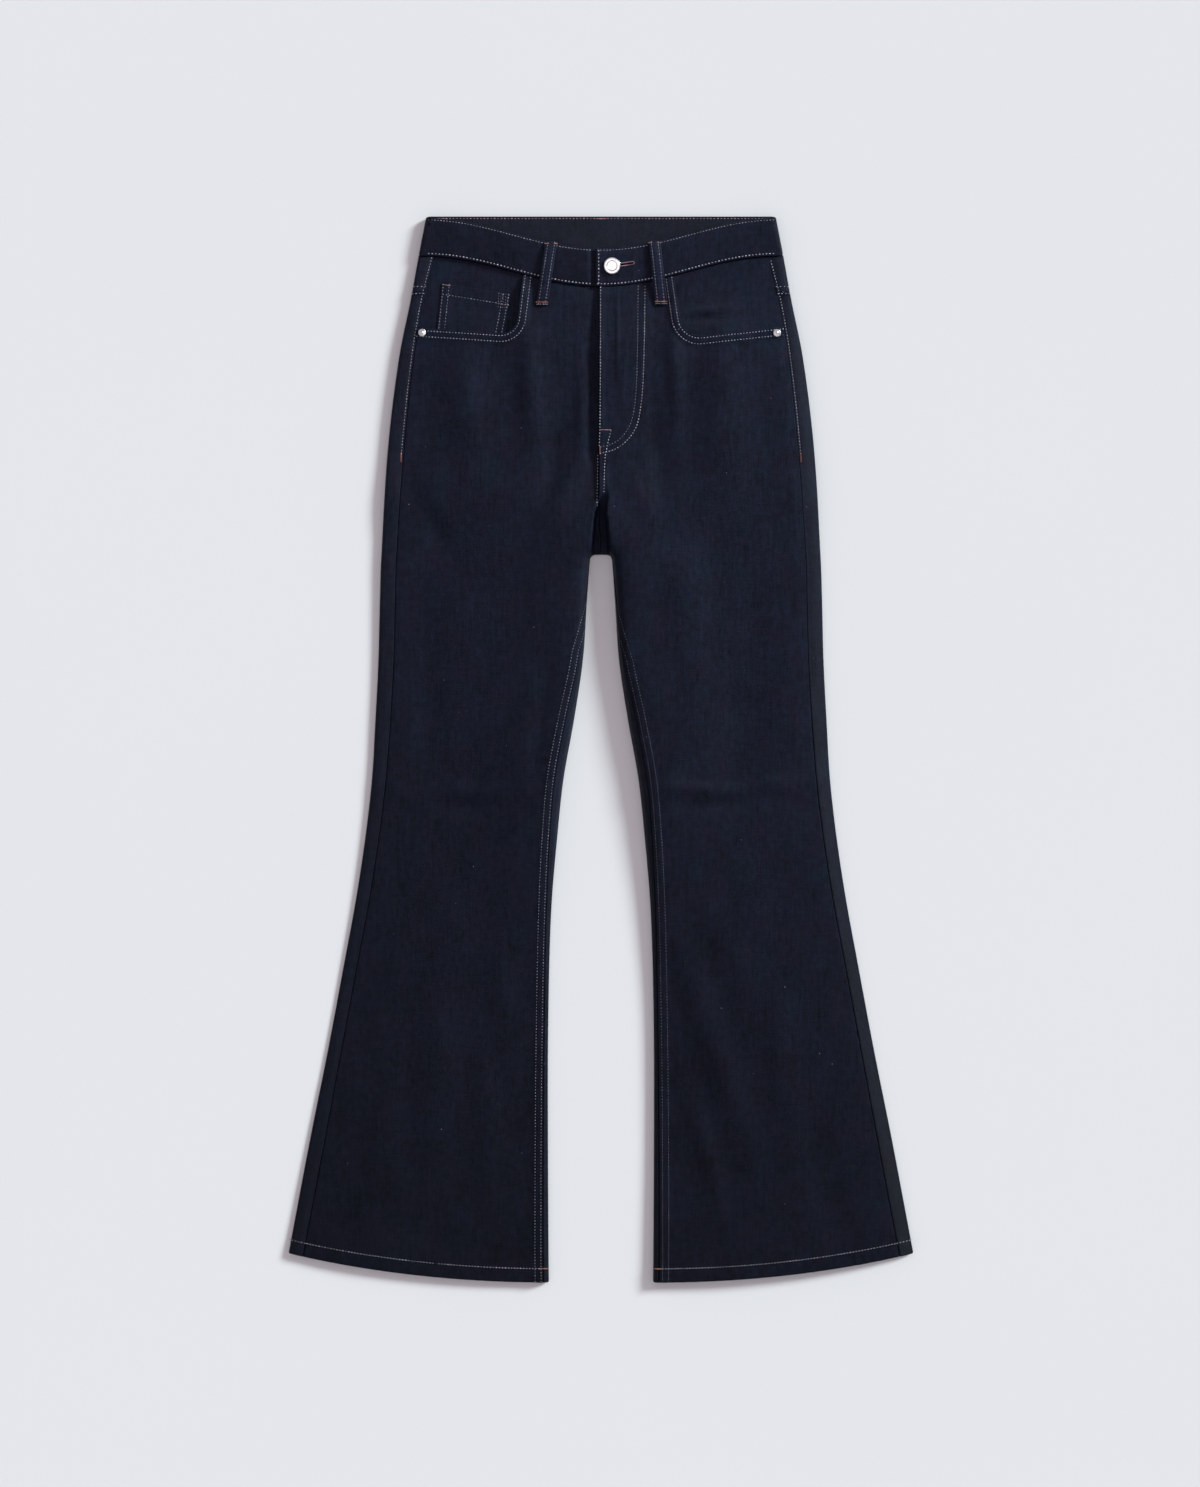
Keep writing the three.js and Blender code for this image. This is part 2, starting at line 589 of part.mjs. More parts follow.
function behindFly(left, right, foot, sunk, thickness) {
  const rise = 20;              // the lower edge climbs towards the wearer's left
  const corners = (u, v) => {
    const x = lerp(left, right, u);
    const low = foot + rise * u * u;
    return [x, lerp(low, frontBandSeam(x) - BAND_GAP, v)];
  };
  return laid(1, corners, sunk, thickness, 3, 6);
}

function backPocket(side) {
  const { inTop, outTop, outSide, point, inSide } = BACK_POCKET;
  return plate([inTop, outTop, outSide, point, inSide].map(([x, y]) => [side * x, y]), 0, PATCH_WALL);
}

function frontLoop(side) {
  const { topX, footX, foot } = side > 0 ? FRONT_LOOPS.left : FRONT_LOOPS.right;
  const seam = frontBandSeam((topX + footX) / 2);
  const head = frontBandTop(topX);
  const steps = [foot, foot + 8, seam - 9, seam - 2, seam + 16, head];
  const columns = 2;
  const place = (i, j) => {
    const y = steps[j];
    const middle = lerp(footX, topX, (y - foot) / (head - foot));
    const x = middle + side * LOOP_WIDTH * (i / columns - 0.5);
    const onBand = bandTopHeight + (side > 0 ? leftLift(x) : 0);
    const onPanel = frontHeight(side, side * x, Math.min(y, seam));
    const height = lerp(onPanel, onBand, smooth(seam - 9, seam - 2, y)) + GAP + PATCH_WALL;
    return { point: new THREE.Vector3(x, y, height), normal: new THREE.Vector3(0, 0, 1) };
  };
  return wall(columns, steps.length - 1, place, () => PATCH_WALL);
}

function backLoop(x) {
  const left = x - LOOP_WIDTH / 2;
  const right = x + LOOP_WIDTH / 2;
  return plate([[left, BACK_LOOP_FOOT], [right, BACK_LOOP_FOOT], [right, TOP], [left, TOP]], 0, PATCH_WALL);
}

// ---------------------------------------------------------------- metal

function domed(radius, rise, foot, segments) {
  const profile = [new THREE.Vector2(0, 0), ...foot];
  const steps = 4;
  for (let k = 0; k <= steps; k += 1) {
    const angle = Math.PI / 2 * k / steps;
    const lip = foot.length ? foot[foot.length - 1].y : 0;
    profile.push(new THREE.Vector2(radius * Math.cos(angle), lip + rise * (0.3 + 0.7 * Math.sin(angle))));
  }
  profile[profile.length - 1].x = 0;
  const geometry = new THREE.LatheGeometry(profile, segments);
  geometry.rotateX(Math.PI / 2);
  return geometry;
}

function button() {
  const stem = BAND_WALL + 2 * GAP;
  const foot = [
    new THREE.Vector2(BUTTON.shank, 0),
    new THREE.Vector2(BUTTON.shank, stem),
    new THREE.Vector2(BUTTON.radius - 0.6, stem),
  ];
  return domed(BUTTON.radius, BUTTON.rise, foot, 24);
}

function rivet() {
  return domed(RIVET.radius, RIVET.rise, [new THREE.Vector2(RIVET.radius - 0.2, 0)], 16);
}

// ---------------------------------------------------------------- assembly

const denim = { color: 0x1a1c28, roughness: 0.92, metalness: 0 };
const denimBand = { color: 0x1f212e, roughness: 0.92, metalness: 0 };
const tape = { color: 0x20222c, roughness: 0.85, metalness: 0 };
const steel = { color: 0xc9ccd2, roughness: 0.3, metalness: 1 };

const jeans = new THREE.Group();

function add(name, geometry, look, position = [0, 0, 0]) {
  const mesh = new THREE.Mesh(geometry, new THREE.MeshStandardMaterial(look));
  mesh.name = name;
  mesh.position.set(...position);
  jeans.add(mesh);
}

for (const [name, side] of [["right", -1], ["left", 1]]) {
  add(`front_panel_${name}`, frontPanel(side), denim);
  add(`back_panel_${name}`, backPanel(side), denim);
  add(`back_yoke_${name}`, yoke(side), denim);
  add(`back_pocket_${name}`, backPocket(side), denim);
  add(`pocket_facing_${name}`, pocketFacing(side), denim);
  add(`belt_loop_front_${name}`, frontLoop(side), denimBand);
  add(`belt_loop_back_${name}`, backLoop(BACK_LOOPS[name]), denimBand);
  const [x, y] = RIVETS[name];
  add(`rivet_${name}`, rivet(), steel, [x, y, frontHeight(side, side * x, y) + GAP]);
}
add("belt_loop_centre_back", backLoop(BACK_LOOPS.centre), denimBand);
add("coin_pocket", coinPocket(), denim);
add("waistband", waistband(), denimBand);
add("fly_shield", behindFly(-12, 38, 322, SHIELD_SUNK, DENIM), denim);
add("zip", behindFly(-10, 14, 324, ZIP_SUNK, ZIP_WALL), tape);
add("button", button(), steel, [BUTTON.x, BUTTON.y, bandTopHeight + BAND_CENTRE_LIFT - BAND_WALL]);

export default jeans;
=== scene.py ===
"""Bootcut jeans, buttoned and laid flat on their back: the sewn cloth, the stitches and the metal."""

import math
from collections import namedtuple
from functools import partial

import bpy
import numpy as np
from bpy.props import FloatProperty, FloatVectorProperty, IntProperty, PointerProperty
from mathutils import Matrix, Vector
from mathutils.geometry import delaunay_2d_cdt


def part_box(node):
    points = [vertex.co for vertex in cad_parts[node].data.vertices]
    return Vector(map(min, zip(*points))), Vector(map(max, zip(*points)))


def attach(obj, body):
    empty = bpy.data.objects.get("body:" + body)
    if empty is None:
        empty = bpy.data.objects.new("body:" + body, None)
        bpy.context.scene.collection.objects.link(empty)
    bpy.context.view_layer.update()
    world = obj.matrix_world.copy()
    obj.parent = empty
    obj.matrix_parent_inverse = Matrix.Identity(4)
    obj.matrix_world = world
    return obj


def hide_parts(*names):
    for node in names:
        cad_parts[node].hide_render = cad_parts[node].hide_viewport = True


bl_info = {
    "name": "Bootcut jeans",
    "version": (1, 0, 0),
    "blender": (4, 5, 0),
    "location": "3D View > Sidebar > Jeans",
    "description": "Makes raw denim jeans, laid flat, around their packed construction model",
    "category": "Object",
}

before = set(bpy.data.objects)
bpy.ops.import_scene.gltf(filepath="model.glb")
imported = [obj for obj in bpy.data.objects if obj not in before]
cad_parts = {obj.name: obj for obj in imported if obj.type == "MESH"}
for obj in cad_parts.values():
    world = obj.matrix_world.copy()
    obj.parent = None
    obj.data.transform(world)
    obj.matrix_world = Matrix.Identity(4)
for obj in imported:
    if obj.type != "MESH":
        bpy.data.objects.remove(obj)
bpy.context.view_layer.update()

# All sizes below are millimetres in the garment's own frame: X to the wearer's left, Y up to the
# waist, Z up out of the front. MM turns them to metres.
MM = 0.001
SIDES = (("right", -1), ("left", 1))  # the wearer's, each with the sign of its X


# ---- driving sizes

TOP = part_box("waistband")[1][1] / MM  # upper edge of the back of the waistband
BAND_HEIGHT = 38
BAND_WALL = 2.4
BAND_STEP = 1.2
DENIM = 1.2
HEM_WALL = 2.2
HEM_HEIGHT = 15.5
HEM_ROW = 14.3  # the hem's row of stitches, above its lower edge
GAP = 0.3
SEAM_HALF = GAP / 2
BAND_GAP = 0.5
CENTRE_HALF = 0.03  # the backs all but meet at their centre seam
PATCH_WALL = 1.6
COIN_WALL = ZIP_WALL = 1
FOLD_DEPTH = 4  # how far in from the outline the cloth is still turning
FOLD_ARC = 5.6  # length of cloth in that turn, from the tip to one face

HEM_SIDE = -515.3
HEM_DROP = 29.7
HEM_CURVE_TOP = -300
YOKE_SIDE = 469
YOKE_CENTRE = 435
WAIST_HALF = 180
WAIST_SAG = 15.5
BAND_SEAM = TOP - BAND_HEIGHT
FRONT_BAND_SEAM = 488.7
FRONT_BAND_TOP = 527.6
WAIST_CURVE_FOOT = 330

CROTCH = 199
CROTCH_HALF = 11.3
CROTCH_CORNER = 6
REST_FOOT, REST_HEAD, REST_HEIGHT = 214, 262, PATCH_WALL + GAP

FLY_FOOT, FLY_FULL, FLY_SEAM_FOOT = 285, 318, 240
FLY_EDGE = -1.8
FLY_UNDER = 3.5
FLY_RAISE, FLY_WIDTH, FLY_FADE = 1.4, 42, 13
FLY_LIP, FLY_LIP_WIDTH = 1.2, 9  # the fly's folded edge stands up
FLY_SINK = 1.7  # and the cloth beside it sinks

# The half of the garment at one height: its outer and inner outline from the centre line, how thick
# it lies at its folds, and how far in from the outline its seams run on the front.
Section = namedtuple("Section", "y outer inner edge side_seam inseam")
SECTIONS = [Section(*row) for row in (
    (-545, 325.3, 53.3, 5.2, 15.0, 6.2),
    (-515, 319.5, 53.6, 5.2, 15.0, 6.2),
    (-400, 297.8, 54.2, 4.0, 15.0, 5.4),
    (-308, 279.4, 54.2, 3.5, 13.6, 4.6),
    (-215, 262.0, 52.7, 3.5, 13.4, 4.6),
    (-154, 250.8, 50.2, 3.5, 13.6, 5.4),
    (-93, 241.5, 45.0, 3.5, 13.8, 7.6),
    (-31, 234.4, 38.4, 3.5, 14.2, 8.9),
    (30, 230.8, 27.6, 3.6, 15.4, 8.5),
    (92, 227.7, 18.4, 3.9, 15.7, 4.5),
    (153, 226.2, 14.3, 4.4, 15.8, 1.5),
    (193, 224.9, 11.3, 5.0, 15.5, 0.0),
    (306, 218.0, 0.0, 6.0, 16.4, 0.0),
    (399, 206.7, 0.0, 6.3, 15.0, 0.0),
    (460, 194.5, 0.0, 6.3, 13.0, 0.0),
    (505, 186.3, 0.0, 6.3, 15.9, 0.0),
    (545, 178.6, 0.0, 6.3, 16.0, 0.0),
)]

LEG_FOOT = SECTIONS[0].y

Mouth = namedtuple("Mouth", "top_x top_y corner_x corner_y radius end_x end_y")
POCKET_MOUTHS = {
    -1: Mouth(80, 484, 87.5, 424, 17, 196, 431),
    1: Mouth(74.6, 484, 83.5, 420, 20, 196, 433),
}
FACING_UNDERLAP, FACING_BELOW, FACING_UNDER_BACK = 18, 18, 5

# Corners in plan, as distances from the centre line.
COIN_POCKET = [(92.6, 465.7), (162.7, 476.4), (169, 415), (102, 414)]
COIN_HEM_ROW = 11.3  # its hem's row of stitches, below its mouth
BACK_POCKET = [(42, 422), (166, 438), (164, 306), (108, 278), (50, 300)]
POCKET_HALF = 62  # from its centre to its sides

Loop = namedtuple("Loop", "top_x foot_x foot_y")
LOOP_WIDTH = 12.6
FRONT_LOOPS = {-1: Loop(-50.7, -60.4, 453.4), 1: Loop(54.8, 61.4, 453.9)}
BACK_LOOPS = {"back_right": -122, "back_left": 122, "centre_back": 0}
BACK_LOOP_FOOT = 485

BUTTON_X, BUTTON_Y, BUTTON_RADIUS, BUTTON_RISE = 11.3, 493.8, 8.5, 3.6
BUTTONHOLE_END = (32.8, 496.9)
BUTTONHOLE_HALF = 1.4  # from its slit to the middle of its satin stitches
RIVET_RADIUS, RIVET_RISE = 3.9, 1.5
RIVET_LEAN = {-1: -9, 1: 1.5}  # degrees: the right one sits on the slope of the hip
RIVETS = {-1: (182.6, 425.6), 1: (179.8, 425.2)}

# Soft folds. Each lies along its own line through x, y at `turn` degrees from X; it fades out over
# `along` and `across`, and rises by height, or sinks where that is negative.
Fold = namedtuple("Fold", "x y turn along across height")
FLY_CREASE_X = 16.8
FOLDS = [Fold(*row) for row in (
    # below the waist, beside the fly
    (-19, 345, 89, 52, 7.5, 3.2),
    (-72, 370, 92, 62, 12, 5.2),
    (-137, 352, 95, 66, 20, 4.2),
    (-48, 296, 84, 56, 10, -2.0),
    (FLY_CREASE_X, 424, 90, 44, 2.0, 1.1),
    (22, 372, 89, 44, 4.5, 1.3),
    (76, 380, 93, 50, 8, 4.0),
    (124, 350, 88, 78, 22, 5.0),
    (166, 312, 80, 60, 14, -1.6),
    (58, 300, 98, 60, 11, -2.2),
    # either side of the fork
    (-38, 262, 64, 46, 11, 2.6),
    (34, 268, 116, 44, 12, 1.6),
    (-66, 196, 38, 52, 11, -2.0),
    (70, 215, 146, 50, 16, -1.1),
    # thighs
    (-120, 140, 80, 110, 26, 2.8),
    (-62, 24, 83, 66, 10, -2.5),
    (92, 120, 98, 120, 20, 2.4),
    (152, 62, 86, 90, 20, -2.3),
    (-178, 60, 92, 90, 18, -2.2),
    (-176, 236, 118, 60, 13, -2.0),
    # knees
    (98, -41, -4, 42, 7.5, 2.4),
    (170, -37, 7, 34, 8, 1.5),
    (112, -57, 4, 40, 8, -1.7),
    (188, -51, -6, 26, 8, -0.9),
    (-140, -43, 0, 44, 8, 1.9),
    (-136, -60, 1, 44, 9, -1.5),
    (-196, -50, -20, 34, 10, 0.9),
    # calves
    (114, -300, 109, 100, 17, 4.6),
    (106, -404, 106, 60, 10, 2.6),
    (132, -206, 112, 50, 14, 2.0),
    (188, -330, 98, 100, 20, 2.4),
    (-168, -310, 88, 96, 20, 4.0),
    (-98, -254, 92, 56, 13, 2.4),
    (-150, -190, 88, 60, 17, 2.2),
    (-118, -380, 94, 84, 16, 2.2),
    (-226, -410, 78, 80, 18, 2.0),
    (228, -430, 104, 80, 18, -1.8),
)]
# The face that lies on the floor keeps only shallow troughs.
BACK_FOLDS = [Fold(*row) for row in (
    (-96, 236, 28, 60, 12, 0.9),
    (88, 228, 154, 66, 11, 1.0),
    (-60, 250, 66, 40, 9, 0.7),
    (-150, 120, 84, 110, 16, 0.8),
    (134, 96, 97, 120, 15, 0.9),
    (-140, -40, -6, 62, 9, 1.1),
    (126, -34, 5, 70, 8, 1.2),
    (-112, -62, 8, 46, 7, 0.8),
    (150, -70, -9, 44, 8, 0.8),
    (-170, -300, 86, 120, 14, 0.9),
    (166, -320, 96, 130, 15, 0.9),
)]


# ---- small helpers

def unit(vectors):
    return vectors / np.maximum(np.linalg.norm(vectors, axis=-1, keepdims=True), 1e-12)


def level(height):
    """A flat surface at one height."""
    return lambda x, y: np.full(np.shape(x), float(height))


def smooth(low, high, value):
    t = np.clip((value - low) / (high - low), 0, 1)
    return t * t * (3 - 2 * t)


def lerp(a, b, t):
    return a + (b - a) * t


def track(column):
    """A smooth curve through one column of SECTIONS, for any array of heights."""
    y = np.array([row.y for row in SECTIONS], float)
    value = np.array([getattr(row, column) for row in SECTIONS], float)
    low, high = np.maximum(np.arange(len(y)) - 1, 0), np.minimum(np.arange(len(y)) + 1, len(y) - 1)
    slope = (value[high] - value[low]) / (y[high] - y[low])
    fine = np.arange(y[0], y[-1] + 0.5, 0.5)
    i = np.clip(np.searchsorted(y, fine, side="right") - 1, 0, len(y) - 2)
    span = y[i + 1] - y[i]
    t = (fine - y[i]) / span
    curve = lerp(value[i], value[i + 1], t * t * (3 - 2 * t))
    curve += t * (1 - t) ** 2 * span * slope[i] + t * t * (t - 1) * span * slope[i + 1]
    return lambda at: np.interp(at, fine, curve)


outer_at, leg_inner_at, edge_at, side_seam_at, inseam_at = map(track, Section._fields[1:])


# ---- the garment's outer face

def inner_at(y):
    """Distance from the centre line to a leg's inner outline, zero above the fork."""
    rise = np.clip(y - (CROTCH - CROTCH_CORNER), 0, CROTCH_CORNER)
    corner = CROTCH_HALF - CROTCH_CORNER + np.sqrt(CROTCH_CORNER ** 2 - rise ** 2)
    return np.where(y >= CROTCH, 0.0, np.where(rise > 0, corner, leg_inner_at(y)))


def from_inner(across, y):
    """How far a point lies from a leg's inner outline or from the fork."""
    rise = y - (CROTCH - CROTCH_CORNER)
    beyond_corner = np.maximum(np.abs(across) - (CROTCH_HALF - CROTCH_CORNER), 0)
    return np.where(rise > 0, np.hypot(beyond_corner, rise) - CROTCH_CORNER, across - leg_inner_at(y))


def edge_distance(across, y):
    return np.minimum(outer_at(y) - across, from_inner(across, y))


def rest_at(y):
    """How high the seat lies on its own pockets."""
    return REST_HEIGHT * smooth(REST_FOOT, REST_HEAD, y)


def fly_seam_at(y):
    return FLY_EDGE * smooth(CROTCH, FLY_SEAM_FOOT, y)


Roll = namedtuple("Roll", "height run")  # how high the cloth rolls up from a side fold, and how soon
RIGHT_ROLL = Roll(2.4, 28)
LEFT_HIP_ROLL, LEFT_KNEE_ROLL, LEFT_SHIN_ROLL = Roll(6.6, 34), Roll(6.0, 26), Roll(5.2, 40)
HIP, SHIN, THIGH = (120, 300), (-280, -460), (-300, 35)  # heights where each sets in and is full
THIGH_FULLNESS, SHIN_FULLNESS = 13, 0.2  # how high the cloth stands beside the inner folds


def outer_roll(side, y):
    if side < 0:
        return RIGHT_ROLL
    knee_or_shin = [lerp(*pair, smooth(*SHIN, y)) for pair in zip(LEFT_KNEE_ROLL, LEFT_SHIN_ROLL)]
    return Roll(*(lerp(*pair, smooth(*HIP, y)) for pair in zip(knee_or_shin, LEFT_HIP_ROLL)))


def fullness(side, across, y):
    """The front stands fuller than a flat tube: most along the inner thighs, least at the side folds."""
    roll = outer_roll(side, y)
    inward = np.maximum(from_inner(across, y), 0)
    outer = roll.height * (1 - np.exp(-np.maximum(outer_at(y) - across, 0) / roll.run))
    outer = outer * (1 - 0.27 * smooth(100, 15, inward))
    bend = lerp(6.5, 4.2, smooth(50, 150, y))
    inner = SHIN_FULLNESS + THIGH_FULLNESS * smooth(*THIGH, y)
    inner = inner * (1 - np.exp(-inward / bend)) * (1 - 0.84 * smooth(12, 120, inward))
    inner = inner * (1 - smooth(CROTCH + 20, CROTCH + 140, y))
    return (outer + inner) * (1 - smooth(400, 478, y))


# The steep valley between the thighs, which closes upward to a point.
VALLEY_FLOOR = 3.3  # height of the cloth in it
VALLEY_HALF = ((CROTCH, 8.6), (225, 6.6), (240, 5.2), (250, 4.2), (268, 2.4))  # height, half width
VALLEY_CENTRE = ((CROTCH, -0.4), (240, -0.4), (250, 1.2), (264, 4.4))  # height, x


def fork_valley(x, y):
    """How far a point lies in the valley, from 0 outside it to 1."""
    from_centre = np.abs(x - np.interp(y, *zip(*VALLEY_CENTRE))) / np.interp(y, *zip(*VALLEY_HALF))
    return smooth(CROTCH - 15, CROTCH, y) * smooth(272, 232, y) * smooth(1.35, 0.8, from_centre)


def folds_at(folds, side, x, y):
    height = np.zeros(np.broadcast(x, y).shape)
    for fold in folds:
        if (fold.x > 0) != (side > 0) and abs(fold.x) > 2.5 * fold.across:
            continue
        turn = math.radians(fold.turn)
        dx, dy = x - fold.x, y - fold.y
        along = (dx * math.cos(turn) + dy * math.sin(turn)) / fold.along
        aside = (dy * math.cos(turn) - dx * math.sin(turn)) / fold.across
        height = height + fold.height * np.exp(-along ** 2 - aside ** 2)
    return height * bpy.context.scene.jeans_cloth.fold_depth


def front_form(side, across, y):
    """What the front adds to its plain height: fullness, the fly, the fork's valley and the folds."""
    x = side * across
    if side > 0:
        overlap = FLY_RAISE * (1 - smooth(FLY_WIDTH, FLY_WIDTH + FLY_FADE, x))
        overlap = overlap + FLY_LIP * (1 - smooth(FLY_EDGE, FLY_EDGE + FLY_LIP_WIDTH, x))
    else:
        overlap = -FLY_SINK * smooth(FLY_EDGE - 1.5 * FLY_FADE, FLY_EDGE - FLY_UNDER, x)
    fly = overlap * smooth(FLY_FOOT, FLY_FULL, y)
    height = fullness(side, across, y) + fly + folds_at(FOLDS, side, x, y)
    return lerp(height, VALLEY_FLOOR - edge_at(y), fork_valley(x, y))


def uneven(run, pitch, phase):
    """Puckers along a seam: waves of uneven length and depth, between -1 and 1."""
    first = np.sin(2 * np.pi * run / pitch + phase)
    second = np.sin(2 * np.pi * run / (pitch * 1.618) + 2.3 * phase)
    third = np.sin(2 * np.pi * run / (pitch * 4.7) + 0.7 * phase)
    strength = bpy.context.scene.jeans_cloth.pucker_depth
    return strength * (0.5 * first + 0.5 * second) * (0.65 + 0.35 * third)


def turn_at(across, y):
    """How far the cloth has turned towards a fold, from 0 on the face to 1 at its tip, and its rise."""
    turn = 1 - np.clip(edge_distance(across, y), 0, FOLD_DEPTH) / FOLD_DEPTH
    return turn, np.sqrt(1 - turn * turn)


def front_z(side, across, y, detail=None):
    """Height of the front face, with a piece's own seams if their detail is given."""
    _, rise = turn_at(across, y)
    relief = front_form(side, across, y)
    if detail is not None:
        relief = relief + detail(across, y)
    return rest_at(y) + edge_at(y) / 2 * (1 + rise) + relief * rise


def skin(side, face, across, y, detail):
    """Points of the back's outer face with their outward normals. Face is 1 in front, -1 behind."""
    across, y, face = np.broadcast_arrays(across, y, face)

    def relief(a, b):
        height = front_form(side, a, b) + detail(a, b)
        return np.where(face > 0, height, folds_at(BACK_FOLDS, side, side * a, b))

    def slope(f, da, db):
        return (f(across + da, y + db) - f(across - da, y - db)) / (2 * step)

    step = 0.04
    turn, rise = turn_at(across, y)
    half = edge_at(y) / 2
    z = rest_at(y) + half * (1 + face * rise) + relief(across, y) * rise
    nx, ny = (-slope(edge_distance, *way) * turn / FOLD_DEPTH - face * slope(relief, *way) * rise / half
              for way in ((step, 0), (0, step)))
    normal = unit(np.stack([side * nx, ny, face * rise / half], axis=-1))
    return np.stack([side * across, y, z], axis=-1), normal


def inset_of(length):
    """How far in from the outline cloth lies, for its length measured from the fold's tip."""
    run = np.abs(length)
    turning = FOLD_DEPTH * (1 - np.cos(np.pi / 2 * np.minimum(run, FOLD_ARC) / FOLD_ARC))
    return turning + np.maximum(run - FOLD_ARC, 0)


def length_to(inset):
    turning = FOLD_ARC * np.arccos(1 - np.clip(inset, 0, FOLD_DEPTH) / FOLD_DEPTH) / (np.pi / 2)
    return turning + np.maximum(inset - FOLD_DEPTH, 0)


def waist_wave(x):
    return np.cos(np.pi * np.clip(np.asarray(x, float) / WAIST_HALF, -1, 1))


def front_band_seam(x):
    return FRONT_BAND_SEAM - WAIST_SAG * waist_wave(x)


def front_band_top(x):
    return FRONT_BAND_TOP - WAIST_SAG * waist_wave(x)


def row_height(across, row, front_share):
    """Rows of cloth bend down with the hem, and with the waistband on the front."""
    inward = np.clip((outer_at(row) - across) / (outer_at(row) - leg_inner_at(row)), 0, 1)
    hem_fade = np.clip((HEM_CURVE_TOP - row) / (HEM_CURVE_TOP - HEM_SIDE), 0, 1) ** 2
    waist_fade = np.clip((row - WAIST_CURVE_FOOT) / (BAND_SEAM - WAIST_CURVE_FOOT), 0, 1) ** 2
    hem = -HEM_DROP * (1 - (1 - inward) ** 2) * hem_fade
    return row + hem + (front_band_seam(across) - BAND_SEAM) * waist_fade * front_share


def hem_line():
    """The hem's lower edge from the inner fold to the outer one."""
    t = np.linspace(0, 1, 60)
    y = row_height(lerp(leg_inner_at(HEM_SIDE), outer_at(HEM_SIDE), t), HEM_SIDE, 0)
    return lerp(leg_inner_at(y), outer_at(y), t), y


HEM_LINE = hem_line()


def hem_edge(across):
    """The height of the hem's lower edge at a distance from the centre line."""
    return np.interp(across, *HEM_LINE)


# ---- seams of the panels

def inseam_half(y):
    return SEAM_HALF * (1 + smooth(120, 170, y))


def front_inner(side, y):
    """The front panel's inner edge: the inseam below the fork, the centre front above it."""
    inseam = inner_at(y) + inset_of(length_to(inseam_at(y)) + inseam_half(y))
    if side > 0:
        centre = fly_seam_at(y) + SEAM_HALF
    else:
        centre = -fly_seam_at(y) + SEAM_HALF - FLY_UNDER * smooth(FLY_FULL, FLY_FULL + 17, y)
    return np.where(y < CROTCH, inseam, centre)


def side_seam_x(y):
    return outer_at(y) - side_seam_at(y)


def mouth_curve(side, inset=0.0, step=3.0):
    """The pocket mouth in plan, from the waistband to the side seam, moved into the panel by inset."""
    mouth = POCKET_MOUTHS[side]
    corner = np.array([mouth.corner_x, mouth.corner_y])
    up = unit(np.array([mouth.top_x, mouth.top_y]) - corner)
    out = unit(np.array([mouth.end_x, mouth.end_y]) - corner)
    half = math.acos(float(up @ out)) / 2
    centre = corner + unit(up + out) * mouth.radius / math.sin(half)
    radius = mouth.radius + inset
    start, stop = (corner + way * mouth.radius / math.tan(half) - centre for way in (up, out))
    angle0, angle1 = (math.atan2(spoke[1], spoke[0]) for spoke in (start, stop))
    if angle1 < angle0:
        angle1 += 2 * math.pi
    angles = np.linspace(angle0, angle1, max(int(radius * (angle1 - angle0) / step), 4) + 1)
    arc = centre + radius * np.stack([np.cos(angles), np.sin(angles)], axis=1)
    head = arc[0] + up * (mouth.top_y + 12 - arc[0][1]) / up[1]
    tail = arc[-1] + out * (mouth.end_x - arc[-1][0]) / out[0]
    line = resample(np.vstack([head, arc, tail]), step)
    line = trim(line, lambda x, y: front_band_seam(x) - BAND_GAP - y)
    return trim(line, lambda x, y: side_seam_x(y) - SEAM_HALF - x)


def trim(line, room):
    """The stretch of a line where room(x, y) is above zero, cut exactly where it reaches zero."""
    left = room(line[:, 0], line[:, 1])
    kept = []
    for a, b, at_a, at_b in zip(line[:-1], line[1:], left[:-1], left[1:]):
        if at_a > 0:
            kept.append(a)
        if (at_a > 0) != (at_b > 0):
            kept.append(lerp(a, b, at_a / (at_a - at_b)))
    if left[-1] > 0:
        kept.append(line[-1])
    return np.array(kept)


def resample(points, step):
    """Points along a line at an even distance near step, corners not kept."""
    points = np.asarray(points, float)
    run = np.concatenate([[0], np.cumsum(np.linalg.norm(np.diff(points, axis=0), axis=1))])
    count = max(int(round(run[-1] / step)), 1)
    at = np.linspace(0, run[-1], count + 1)
    return np.stack([np.interp(at, run, points[:, k]) for k in range(points.shape[1])], axis=1)


def distance_to_line(x, y, line):
    """Shortest distance in plan from each point to an open line."""
    best = np.full(np.broadcast(x, y).shape, np.inf)
    for (ax, ay), (bx, by) in zip(line[:-1], line[1:]):
        dx, dy = bx - ax, by - ay
        t = np.clip(((x - ax) * dx + (y - ay) * dy) / (dx * dx + dy * dy), 0, 1)
        best = np.minimum(best, np.hypot(x - ax - t * dx, y - ay - t * dy))
    return best


MOUTH_LINES = {side: mouth_curve(side, 0, 7) for side in (-1, 1)}
STITCH_CHANNEL = 0.75  # half the width of the dent that a row of stitches pulls
GROOVE_DEPTH, GROOVE_HALF = 0.25, 2.0  # the groove that a side seam pulls down the leg
THIGH_DIP = {"panel": 0.8, "strip": 1.1}  # how far the left thigh's cloth falls towards that seam
SIDE_ROW, SIDE_ROW_FOOT = 2.0, 299  # edge stitch on the back strip, from the side seam
FELL_ROWS = (1.5, 7.6)  # twin rows on a felled seam, from its turned edge
FELL_LIFT = 0.75
MOUTH_ROWS = (2.5, 8.4)
MOUTH_GAPE = 3.5  # how far the pocket mouth stands open beside the fly
HEM_LIFT, HEM_ROPING = 0.55, 0.42  # the turned hem, and its slanting ropes
BAND_PULL = 1.0  # how far the cloth is drawn down where the band is sewn over it


def channel(distance, depth):
    return -depth * np.exp(-(distance / STITCH_CHANNEL) ** 2)


def band_dip(across, y):
    return -BAND_PULL * np.exp(-((front_band_seam(across) - y) / 6) ** 2)


